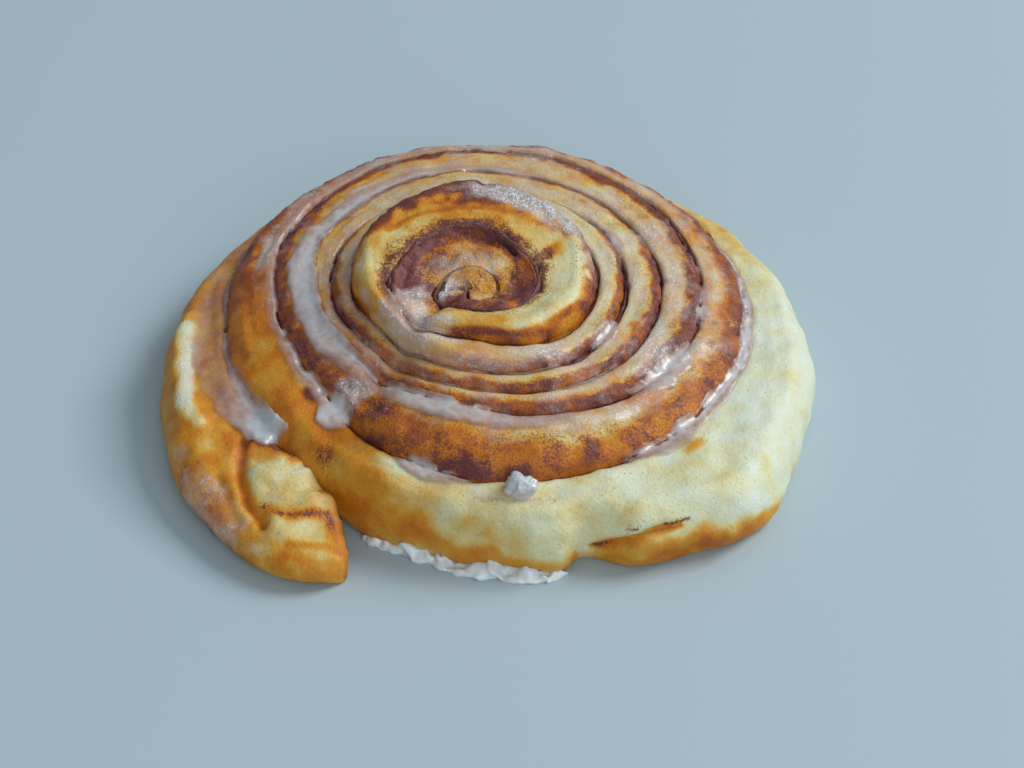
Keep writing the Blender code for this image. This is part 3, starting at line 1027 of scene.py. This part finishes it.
@dataclass(frozen=True)
class SetIcing:
    """Set icing: white and glossy where it is thick, and tinted by the dough where it is thin."""

    thick: Colour = (0.57, 0.62, 0.68)
    thin: Colour = (0.60, 0.38, 0.31)
    bead: Colour = (0.84, 0.94, 1.00)
    # Near-white for the icing's flecks: sugar crystals, and painted glints that stand in for its
    # sparkle.
    sugar: Colour = (0.72, 0.76, 0.80)

    def make(self) -> bpy.types.Material:
        """The icing's material."""
        paint = Paint("set_icing")
        depth = paint.layer("depth")
        broad, fine = paint.cloud(3.2, 4.0, 0.6), paint.cloud(0.55, 3.0, 0.6)
        body = paint.rise(depth + (broad - 0.5) * 0.5, 0.10, 1.10)
        colour = paint.blend(body, self.thin, self.thick)
        colour = paint.blend(paint.rise(depth, 1.4, 2.0), colour, self.bead)
        # White flecks: partly sugar crystals, partly painted glints in the base colour.
        crystal_and_glint_flecks = paint.rise(fine, 0.56, 0.66)
        colour = paint.blend(crystal_and_glint_flecks * 0.35, colour, self.sugar)
        paint.set(Base_Color=colour, Roughness=0.36 - broad * 0.12)
        paint.set(Alpha=paint.rise(depth + (broad - 0.5) * 0.35, -0.05, 0.75) * 0.9)
        paint.set(Coat_Weight=0.55, Coat_Roughness=0.12)
        paint.set(Subsurface_Weight=0.25, Subsurface_Scale=0.0012)
        paint.set(Subsurface_Radius=(1.0, 0.9, 0.9))
        paint.bump(broad * 0.45 + fine * 0.25, 0.6, 0.5)
        return paint.material


@dataclass(frozen=True)
class TableTop:
    """The plain pale surface that the bun stands on."""

    colour: Colour = (0.44, 0.57, 0.66)
    dimmer: float = 0.97

    def make(self) -> bpy.types.Material:
        """The surface's material."""
        paint = Paint("table_top")
        faint = paint.cloud(60.0, 2.0, 0.5)
        dim = tuple(self.dimmer * part for part in self.colour)
        shade = paint.blend((faint - 0.5) * 0.3 + 0.5, self.colour, dim)
        paint.set(Base_Color=shade, Roughness=0.36)
        return paint.material


def placed(name: str, data: bpy.types.ID) -> bpy.types.Object:
    """Puts an object in the scene.

    Args:
        name: Its name.
        data: Its mesh, light or camera.

    Returns:
        The object.
    """
    made = bpy.data.objects.new(name, data)
    bpy.context.scene.collection.objects.link(made)
    return made


@dataclass(frozen=True)
class Piece:
    """A finished piece's name, material slot and the solids that it stands for."""

    name: str
    slot: str
    nodes: tuple[str, ...] = ()

    def add(self, bm: bmesh.types.BMesh, material: bpy.types.Material) -> None:
        """Makes a bmesh this piece.

        Args:
            bm: The shape in metres. It is used up.
            material: The material of all its faces.
        """
        bmesh.ops.recalc_face_normals(bm, faces=bm.faces)
        mesh = bpy.data.meshes.new(self.name)
        bm.to_mesh(mesh)
        bm.free()
        mesh.materials.append(material)
        mesh.shade_smooth()
        made = placed(self.name, mesh)
        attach(made, BODY)
        if self.nodes:
            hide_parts(*self.nodes)
        count = sum(len(polygon.vertices) - 2 for polygon in mesh.polygons)
        LOG.info("%s: %d triangles", self.name, count)


def skin(points: Array, layers: dict[str, Array], ringed: bool) -> bmesh.types.BMesh:
    """A skin through rows of points.

    Args:
        points: The points in millimetres, with rows, columns and x, y, z as its axes.
        layers: Numbers that the mesh holds at each point, by name.
        ringed: Whether each row is a closed ring.

    Returns:
        The skin in metres, with a closed row's ends joined.
    """
    rows, columns = points.shape[:2]
    across = columns if ringed else columns - 1
    bm = bmesh.new()
    bmesh.ops.create_grid(bm, x_segments=across, y_segments=rows - 1, size=0.5)
    bm.verts.ensure_lookup_table()
    held = [bm.verts.layers.float.new(name) for name in layers]
    order = np.arange(across + 1) % columns
    places = (points[:, order] * MM).reshape(-1, 3).tolist()
    numbers = [values[:, order].ravel().tolist() for values in layers.values()]
    for index, vert in enumerate(bm.verts):
        vert.co = places[index]
        for layer, values in zip(held, numbers, strict=True):
            vert[layer] = values[index]
    if ringed:
        ends = [vert for vert in bm.verts if vert.index % (across + 1) in (0, across)]
        bmesh.ops.remove_doubles(bm, verts=ends, dist=1e-7)
        open_edges = [edge for edge in bm.edges if edge.is_boundary]
        bmesh.ops.holes_fill(bm, edges=open_edges, sides=0)
    return bm


def height_of(surface: BVHTree, x: float, y: float) -> float:
    """The height of a surface over a place.

    Args:
        surface: The surface.
        x: The place's x in millimetres.
        y: The place's y in millimetres.

    Returns:
        The height in millimetres, and 0 beside the surface.
    """
    over = Vector((x * MM, y * MM, 0.06))
    hit = surface.ray_cast(over, Vector((0.0, 0.0, -1.0)))[0]
    return hit.z / MM if hit else 0.0


@dataclass
class DoughStrip:
    """The coiled strip of dough.

    A section has some hidden points under the strip, then the seen ones in even steps.
    """

    coil: Coil
    relief: Relief
    baking: Baking
    hidden: int = 3
    seen: int = 36
    step: float = 0.645
    below_groove: float = 1.4
    turn_points: int = 16
    top_points: int = 12
    wall_points: int = 14
    piece: Piece = field(default_factory=lambda: Piece("dough_coil_skin", "crust", ("dough_coil",)))

    def section(self, lap: float) -> tuple[Array, Array, Array]:
        """The strip's cross-section at a lap.

        Args:
            lap: The lap.

        Returns:
            The radius, height and share of each of its points, from under its inner edge
            round its outer side and over its top.
        """
        at = np.array([lap])
        coil = self.coil
        outer, inner = (float(side[0]) for side in coil.sides(at))
        width = outer - inner
        open_wall = 1.0 - float(smooth(*coil.wall_laps, at)[0])
        chamfer = min(coil.chamfer, 0.2 * width)
        tuck = min(mix(coil.chamfer, coil.wall_tuck, open_wall), 0.3 * width)
        fullest = 0.9 * coil.wall_fullest * float(coil.tip_share(at)[0])
        groove = float(coil.groove(np.maximum(at, coil.first_groove))[0])
        start = max((1.0 - open_wall) * (groove - self.below_groove), 0.05)
        shoulder, inside = (
            min(float(coil.by_lap(sizes, at)[0]), coil.shoulder_share * width) / width
            for sizes in (coil.outer_shoulders, coil.inner_shoulders)
        )
        turn = 1.0 - np.cos(np.linspace(0.0, 0.5 * math.pi, self.turn_points))
        flat_top = np.linspace(shoulder, 1.0 - inside, self.top_points)[1:-1]
        shares = np.concatenate([shoulder * turn, flat_top, 1.0 - inside * turn[::-1]])
        heights = coil.top(np.full(shares.shape, lap), shares)
        climb = np.linspace(start, max(heights[0], start + 0.01), self.wall_points)[:-1]
        below = np.clip(1.0 - climb / max(fullest, 0.1), 0.0, 1.0)
        bulge = np.sqrt(1.0 - below**2)
        radius = np.concatenate([outer - tuck * (1.0 - bulge), outer - shares * width, [inner]])
        height = np.concatenate([climb, heights, [heights[-1] - self.below_groove]])
        share = np.concatenate([np.zeros_like(climb), shares, [1.0]])
        run = np.concatenate([[0.0], np.cumsum(np.hypot(np.diff(radius), np.diff(height)))])
        even = np.linspace(0.0, run[-1], self.seen)
        seen = [np.interp(even, run, values) for values in (radius, height, share)]
        low = min(chamfer, 0.5 * float(seen[1][-1]))
        hidden_radius = [inner + chamfer, 0.5 * (inner + outer), outer - tuck]
        return (
            np.concatenate([hidden_radius, seen[0], [inner]]),
            np.concatenate([np.zeros(self.hidden), seen[1], [low]]),
            np.concatenate([[1.0, 0.5, 0.0], seen[2], [1.0]]),
        )

    def make(self, material: bpy.types.Material) -> BVHTree:
        """Builds the strip.

        Args:
            material: The crust's material.

        Returns:
            Its surface, on which icing can be laid.
        """
        laps = self.coil.steps(self.coil.tip_lap, self.coil.end_lap, self.step)
        radius, height, share = (
            np.array(rows) for rows in zip(*(self.section(lap) for lap in laps), strict=True)
        )
        lap = np.broadcast_to(laps[:, None], radius.shape)
        flat = self.coil.place(lap, radius, height)
        points = self.relief.warp(flat)
        away = np.cross(np.gradient(points, axis=1), np.gradient(points, axis=0))
        away /= np.maximum(np.linalg.norm(away, axis=-1, keepdims=True), 1e-9)
        if away[:, self.hidden + self.seen // 2, 2].mean() < 0.0:
            away = -away
        outer, inner = self.coil.sides(lap)
        along = self.step * np.broadcast_to(np.arange(len(laps))[:, None], lap.shape)
        across = share * (outer - inner) - height * (share <= 0.0)
        layers = self.baking.layers(lap, share, flat)
        lift = self.relief.lift(flat, along, across, layers[Layer.SPICE.value])
        ragged = 0.5 * noise_at(flat, 5.0, 3.0)
        lift = self.baking.raised(lift, Spots(lap, share, flat, ragged))
        column = np.arange(radius.shape[1]) - float(self.hidden)
        fade = smooth(-0.5, 3.0, column) * smooth(self.seen - 0.5, self.seen - 3.0, column)
        narrow = smooth(0.0, 6.0, outer - inner)
        points = self.relief.keep_inside(points + away * (lift * fade * narrow)[..., None])
        bm = skin(points, layers, ringed=True)
        surface = BVHTree.FromBMesh(bm)
        self.piece.add(bm, material)
        return surface


@dataclass
class FillingRibbon:
    """The ribbon of cinnamon filling between the laps of dough."""

    coil: Coil
    relief: Relief
    first: float = 0.9
    last: float = 7.66
    step: float = 0.8
    base: float = 0.9
    # How far it stands above the groove, for the middle of each lap.
    shows: tuple[float, ...] = (-0.5, -0.4, -0.3, -0.3, -0.3, -0.3, 0.2, -0.6, -0.8)
    over_gap: float = 0.25
    rough: float = 0.5
    piece: Piece = field(
        default_factory=lambda: Piece("cinnamon_ribbon", "cinnamon", ("cinnamon_filling",))
    )

    def make(self, material: bpy.types.Material) -> None:
        """Builds the ribbon.

        Args:
            material: The filling's material.
        """
        lap = self.coil.steps(self.first, self.last, self.step)[:, None]
        half = self.coil.half_seam(lap) + self.over_gap
        top = self.coil.groove(lap) + self.coil.by_lap(self.shows, lap)
        across = np.array([[-1.0, 1.0, 1.0, 1.0, 0.6, 0.2, -0.2, -0.6, -1.0, -1.0]])
        drop = np.array([[99.0, 99.0, 4.0, 0.9, 0.25, 0.0, 0.0, 0.25, 0.9, 4.0]])
        height = np.maximum(top - drop, self.base)
        flat = self.coil.place(lap + 0.0 * across, self.coil.seam(lap) + half * across, height)
        lift = self.rough * (noise_at(flat, 2.2, 21.0) + 0.6 * noise_at(flat, 0.9, 22.0))
        flat[..., 2] += lift * (drop < 2.0)
        points = self.relief.warp(flat)
        pale = smooth(7.02, 7.10, lap) * (0.85 - 0.5 * bell(7.13, 0.03, lap)) + 0.0 * across
        self.piece.add(skin(points, {"pale": pale}, ringed=True), material)


@dataclass(frozen=True)
class IcingSheet:
    """Icing that lies along a seam and over the dough beside it.

    Its edges give, for some laps of the seam, how far it reaches outwards and inwards
    from the seam and how thick it lies.
    """

    coil: Coil
    relief: Relief
    piece: Piece
    edges: Rows
    seed: float
    waviness: float = 0.3
    grain: float = 0.42
    margin: float = 1.6
    rounding: float = 2.2
    ragged: float = 0.8
    bridge: int = 4
    level_out: int = 10
    sink: float = 2.2
    body: float = 1.5

    def level(self, floor: Array) -> Array:
        """Fills the grooves of a floor, as icing that ran would fill them.

        Args:
            floor: The floor's heights.

        Returns:
            The heights of the icing on it.
        """
        columns = floor.shape[1]
        reach = range(2 * self.bridge + 1)
        filled = floor
        for pick in (np.maximum, np.minimum):
            rolled = np.pad(filled, ((0, 0), (self.bridge, self.bridge)), "edge")
            filled = pick.reduce([rolled[:, step : step + columns] for step in reach])
        for _ in range(self.level_out):
            rolled = np.pad(filled, 1, "edge")
            beside = rolled[1:-1, :-2] + rolled[1:-1, 2:] + rolled[:-2, 1:-1] + rolled[2:, 1:-1]
            filled = 0.5 * filled + 0.125 * beside
        return np.maximum(filled, floor)

    def make(self, surface: BVHTree, material: bpy.types.Material) -> None:
        """Lays the icing on the dough.

        Args:
            surface: The dough's surface.
            material: The icing's material.
        """
        knots = np.array(self.edges)
        radius = float(self.coil.seam(np.array([knots[:, 0].mean()]))[0])
        arc = 2.0 * math.pi * radius
        first, last = knots[0, 0] - self.margin / arc, knots[-1, 0] + self.margin / arc
        rows = round((last - first) * arc / self.grain) + 1
        out, into = knots[:, 1].max() + self.margin, knots[:, 2].max() + self.margin
        columns = round((out + into) / self.grain) + 1
        lap = np.linspace(first, last, rows)[:, None]
        outward, inward, thick = (
            np.interp(lap, knots[:, 0], knots[:, column]) for column in (1, 2, 3)
        )
        low, high = -inward - self.margin, outward + self.margin
        offset = low + (high - low) * np.linspace(0.0, 1.0, columns)[None, :]
        seam = self.coil.seam(lap)
        points = self.relief.warp(self.coil.place(lap + 0.0 * offset, seam + offset, 0.0))
        spots = points.reshape(-1, 3)
        floor = np.array([height_of(surface, x, y) for x, y, _ in spots]).reshape(rows, columns)
        wave = self.ragged * noise_at(points, 4.5, self.seed)
        wave += 0.2 * self.ragged * noise_at(points, 1.7, self.seed + 1.0)
        to_end = np.minimum(lap - knots[0, 0], knots[-1, 0] - lap) * arc
        inside = np.minimum(np.minimum(outward - offset, inward + offset), to_end) + wave
        filled = mix(floor, self.level(floor), smooth(0.0, 1.2, inside))
        x = np.clip(inside / self.rounding, 0.0, 1.0)
        cover = thick * np.sqrt(1.0 - (1.0 - x) ** 2)
        cover = cover * (1.0 + self.waviness * noise_at(points, 3.2, self.seed + 2.0))
        cover = cover * (1.0 + 0.8 * self.waviness * noise_at(points, 1.2, self.seed + 3.0))
        sunk = self.sink * smooth(0.2, -1.0, inside)
        points[..., 2] = filled + cover - sunk
        points = self.relief.keep_inside(points)
        depth = cover - sunk + 0.3 * np.minimum(filled - floor, 0.8)
        bm = skin(points, {"depth": depth}, ringed=False)
        below = bmesh.ops.extrude_face_region(bm, geom=bm.faces[:])["geom"]
        lowered = [item for item in below if isinstance(item, bmesh.types.BMVert)]
        bmesh.ops.translate(bm, verts=lowered, vec=(0.0, 0.0, -self.body * MM))
        for vert in lowered:
            vert.co.z = max(vert.co.z, 0.0)
        self.piece.add(bm, material)


@dataclass
class FootIcing:
    """Icing that has run under the front edge and set there in beads."""

    coil: Coil
    relief: Relief
    laps: tuple[float, float] = (50 / 72, 59 / 72)
    height: float = 1.9
    reach: float = 0.3
    swell: float = 1.7
    swell_lap: float = 0.735
    swell_spread: float = 0.026
    piece: Piece = field(default_factory=lambda: Piece("foot_icing", "icing", ("icing_foot",)))

    def make(self, material: bpy.types.Material) -> None:
        """Builds the beads.

        Args:
            material: The icing's material.
        """
        first, last = self.laps
        lap = np.linspace(first, last, 190)[:, None]
        span = (lap - first) / (last - first)
        share = np.minimum(1.0, 2.2 * np.maximum(0.0, np.sin(math.pi * span)) ** 0.8)
        wall = self.coil.sides(lap)[0]
        swell = self.swell * bell(self.swell_lap, self.swell_spread, lap)
        reach = 0.4 + share * (self.reach + swell)
        height = self.height * (0.4 + 0.6 * share)
        turn = np.linspace(0.0, math.pi, 14)[None, :]
        inner = wall - self.coil.wall_tuck * share
        middle, half = 0.5 * (inner + wall + reach), 0.5 * (wall + reach - inner)
        radius = middle + half * np.cos(turn)
        flat = self.coil.place(lap + 0.0 * turn, radius, height * np.sin(turn) ** 0.8)
        beads = noise_at(flat * (1.0, 1.0, 0.3), 3.4, 31.0) + 0.5 * noise_at(flat, 1.3, 32.0)
        flat[..., 2] *= 1.0 + 1.2 * beads
        flat += noise_at(flat, 2.0, 33.0)[..., None] * (0.8, 0.8, 0.0)
        points = self.relief.keep_inside(self.relief.warp(flat))
        self.piece.add(skin(points, {"depth": points[..., 2] + 2.0}, ringed=True), material)


@dataclass
class IcingLump:
    """The lump of icing on the front edge."""

    coil: Coil
    relief: Relief
    lap: float = 0.714
    from_seam: float = 2.9
    size: tuple[float, float, float] = (6.0, 5.0, 4.4)
    rough: float = 0.5
    piece: Piece = field(default_factory=lambda: Piece("icing_lump_set", "icing", ("icing_lump",)))

    def make(self, surface: BVHTree, material: bpy.types.Material) -> None:
        """Sets the lump on the dough.

        Args:
            surface: The dough's surface.
            material: The icing's material.
        """
        at = np.array([self.lap])
        radius = self.coil.seam(at + 1.0) + self.from_seam
        spot = self.relief.warp(self.coil.place(at, radius, np.zeros(1)))[0]
        x, y = spot[:2]
        z = height_of(surface, x, y) + 0.25 * self.size[2]
        bm = bmesh.new()
        bmesh.ops.create_icosphere(bm, subdivisions=5, radius=0.5)
        depth = bm.verts.layers.float.new("depth")
        for vert in bm.verts:
            way = vert.co.normalized()
            lump = noise.noise(way * 1.6 + Vector((3.0, 1.0, 4.0))) * self.rough
            lump += 0.3 * self.rough * noise.noise(way * 5.0)
            vert.co = vert.co * (1.0 + 0.6 * lump)
            vert[depth] = 0.8 + 0.6 * max(vert.co.z, 0.0)
        wide, deep, tall = self.size
        bmesh.ops.scale(bm, verts=bm.verts, vec=(wide * MM, deep * MM, 1.25 * tall * MM))
        bmesh.ops.translate(bm, verts=bm.verts, vec=(x * MM, y * MM, z * MM))
        self.piece.add(bm, material)


@dataclass(frozen=True)
class Lamp:
    """A soft square light."""

    name: str
    place: tuple[float, float, float]
    size: float
    power: float
    colour: Colour

    def make(self, aim: Vector) -> None:
        """Hangs the lamp.

        Args:
            aim: The point that it is turned to.
        """
        light = bpy.data.lights.new(self.name, "AREA")
        light.shape = "SQUARE"
        light.size = self.size
        light.energy = self.power
        light.color = self.colour
        made = placed(self.name, light)
        made.location = self.place
        made.rotation_euler = (aim - made.location).to_track_quat("-Z", "Y").to_euler()


@dataclass
class Studio:
    """The floor, the lights and the camera."""

    lamps: tuple[Lamp, ...] = (
        Lamp("key", (1.45, 0.55, 1.35), 1.0, 31.0, (1.0, 1.0, 0.96)),
        Lamp("fill", (0.5, -1.5, 0.8), 1.2, 9.5, (1.0, 0.98, 0.95)),
    )
    aim: tuple[float, float, float] = (0.0, 0.0, 0.015)
    ambient: Colour = (0.86, 0.95, 1.0)
    ambient_strength: float = 0.31
    floor_size: float = 6.0
    camera_place: tuple[float, float, float] = (4.97, -404.82, 323.35)
    camera_tilt: float = 51.203
    lens: float = 85.25

    def make(self) -> None:
        """Sets up the floor, the lights and the camera."""
        bm = bmesh.new()
        bmesh.ops.create_grid(bm, x_segments=2, y_segments=2, size=0.5 * self.floor_size)
        mesh = bpy.data.meshes.new("table_top")
        bm.to_mesh(mesh)
        bm.free()
        mesh.materials.append(TableTop().make())
        placed("table_top", mesh)
        for lamp in self.lamps:
            lamp.make(Vector(self.aim))
        world = bpy.data.worlds.new("studio")
        world.use_nodes = True
        sky = world.node_tree.nodes["Background"]
        sky.inputs["Color"].default_value = (*self.ambient, 1.0)
        sky.inputs["Strength"].default_value = self.ambient_strength
        bpy.context.scene.world = world
        camera = bpy.data.cameras.new("camera")
        camera.lens = self.lens
        camera.sensor_width = 36.0
        camera.clip_start, camera.clip_end = 0.01, 20.0
        made = placed("camera", camera)
        made.location = Vector(self.camera_place) * MM
        made.rotation_euler = (math.radians(self.camera_tilt), 0.0, 0.0)
        bpy.context.scene.camera = made
        bpy.context.scene.view_settings.view_transform = "Standard"


@dataclass
class SeamIcing:
    """The icing that has set in the grooves and on the loose end."""

    coil: Coil
    relief: Relief
    # Each sheet's name, the solid that it stands for, its seed and its edges.
    plan: tuple[tuple[str, str, float, Rows], ...] = (
        ("middle_seam_icing", "icing_middle_seam", 41.0, (
            (2.645, 0.8, 0.2, 0.2), (2.66, 3.6, 0.3, 0.35), (2.7, 4.2, 0.5, 0.55),
            (2.76, 4.6, 0.9, 0.65), (2.816, 4, 1.1, 0.6), (2.87, 2.8, 1.2, 0.3),
            (2.91, 3.2, 1.8, 0.45), (2.957, 3.6, 2.1, 0.7), (3.015, 4, 2.3, 0.75),
            (3.065, 4.8, 2.5, 0.75), (3.12, 4.6, 2.1, 0.6), (3.2, 3.4, 1.6, 0.4),
            (3.28, 2.6, 0.9, 0.3), (3.36, 1, 0.5, 0.2),
        )),
        ("left_seam_icing", "icing_left_seam", 47.0, (
            (1.885, 3, 1.1, 0.5), (1.915, 2.5, 1.1, 0.4), (1.96, 2.3, 1, 0.35),
            (2.05, 2.6, 1, 0.35), (2.12, 2.6, 1, 0.3), (2.2, 2.4, 1, 0.3), (2.33, 1.6, 0.9, 0.2),
        )),
        ("right_seam_icing", "icing_right_seam", 53.0, (
            (1.389, 1.2, 1, 0.3), (1.44, 1.5, 1.2, 0.5), (1.5, 1.8, 1.3, 0.6), (1.56, 2, 1.3, 0.6),
            (1.6, 3, 1.3, 0.6), (1.64, 1.6, 1, 0.3),
        )),
        ("tail_icing", "icing_tail", 59.0, (
            (0.9, 2.6, 2, 0.9), (0.912, 3.8, 2.6, 1.3), (0.93, 5.4, 2, 0.6),
            (0.967, 7.4, 1.6, 0.22), (1.003, 8.2, 1.4, 0.19), (1.035, 7.4, 1.2, 0.18),
            (1.06, 6, 1.1, 0.18), (1.1, 4.4, 0.8, 0.18), (1.15, 3, 0.6, 0.15),
        )),
        ("crease_icing", "", 61.0, (
            (1.864, 1.6, 1.4, 0.3), (1.876, 4.4, 2.2, 0.7), (1.888, 5.2, 2.6, 0.8),
            (1.901, 2.4, 1.6, 0.4),
        )),
        ("front_left_icing", "", 67.0, (
            (1.742, 1.2, 0.4, 0.3), (1.765, 3, 0.9, 0.6), (1.8, 2.6, 0.7, 0.6),
            (1.812, 1.2, 0.2, 0.2),
        )),
        ("front_right_icing", "", 71.0, (
            (1.588, 2, 0.6, 0.3), (1.6, 4.6, 0.8, 0.45), (1.618, 3.4, 0.6, 0.45),
            (1.632, 1.4, 0.3, 0.2),
        )),
        ("right_pool_icing", "", 73.0, (
            (2.52, 1.4, 1, 0.2), (2.545, 4, 2.2, 0.6), (2.572, 4.4, 2, 0.6), (2.602, 1.6, 1, 0.2),
        )),
        ("right_speck_icing", "", 79.0, (
            (2.41, 0.8, 0.4, 0.2), (2.435, 2, 0.8, 0.45), (2.462, 1.2, 0.5, 0.3),
            (2.486, 2.8, 1.4, 0.55), (2.504, 1.2, 0.6, 0.3),
        )),
        ("inner_right_icing", "", 83.0, (
            (4.51, 0.8, 0.8, 0.2), (4.54, 2.4, 2.2, 0.5), (4.58, 1.2, 1.2, 0.3),
        )),
        ("front_pool_icing", "", 107.0, (
            (3.58, 0.8, 0.6, 0.2), (3.605, 2, 1, 0.4), (3.64, 2.2, 0.8, 0.4),
            (3.675, 0.8, 0.4, 0.2),
        )),
        ("back_right_icing", "", 89.0, (
            (4.34, 0.7, 0.4, 0.2), (4.4, 2.2, 0.7, 0.45), (4.44, 2, 0.6, 0.4),
            (4.475, 0.7, 0.3, 0.2),
        )),
        ("knob_seam_icing", "", 97.0, (
            (4.56, 0.6, 0.4, 0.2), (4.7, 1.4, 0.5, 0.22), (4.83, 1.8, 0.5, 0.25),
            (4.95, 2.2, 0.5, 0.25), (5.06, 2.2, 0.5, 0.25), (5.18, 1.4, 0.5, 0.2),
            (5.3, 0.6, 0.4, 0.2),
        )),
        ("heart_left_icing", "", 103.0, (
            (5.8, 0.8, 0.6, 0.16), (5.85, 2, 1.2, 0.24), (5.9, 2.6, 1.4, 0.28),
            (5.95, 1.8, 1.2, 0.24), (5.99, 0.8, 0.6, 0.16),
        )),
        ("inner_seam_icing", "", 101.0, (
            (3.64, 0.6, 0.4, 0.2), (3.74, 1.4, 0.6, 0.2), (3.86, 1.6, 0.6, 0.22),
            (3.96, 1.8, 0.7, 0.22), (4.06, 1.8, 0.7, 0.22), (4.18, 1.4, 0.6, 0.2),
            (4.33, 0.6, 0.4, 0.2),
        )),
    )

    def make(self, surface: BVHTree, material: bpy.types.Material) -> None:
        """Lays all the sheets.

        Args:
            surface: The dough's surface.
            material: The icing's material.
        """
        for name, solid, seed, edges in self.plan:
            piece = Piece(name, "icing", (solid,) if solid else ())
            IcingSheet(self.coil, self.relief, piece, edges, seed).make(surface, material)


def main() -> None:
    """Builds the bun and its studio."""
    logging.basicConfig(level=logging.INFO, format="%(name)s %(message)s")
    coil, relief = Coil(), Relief(CAD_BOX)
    icing, cinnamon = SetIcing().make(), CinnamonPaste().make()
    surface = DoughStrip(coil, relief, Baking(coil)).make(BakedDough().make())
    FillingRibbon(coil, relief).make(cinnamon)
    SeamIcing(coil, relief).make(surface, icing)
    FootIcing(coil, relief).make(icing)
    IcingLump(coil, relief).make(surface, icing)
    Studio().make()


if __name__ == "__main__":
    main()
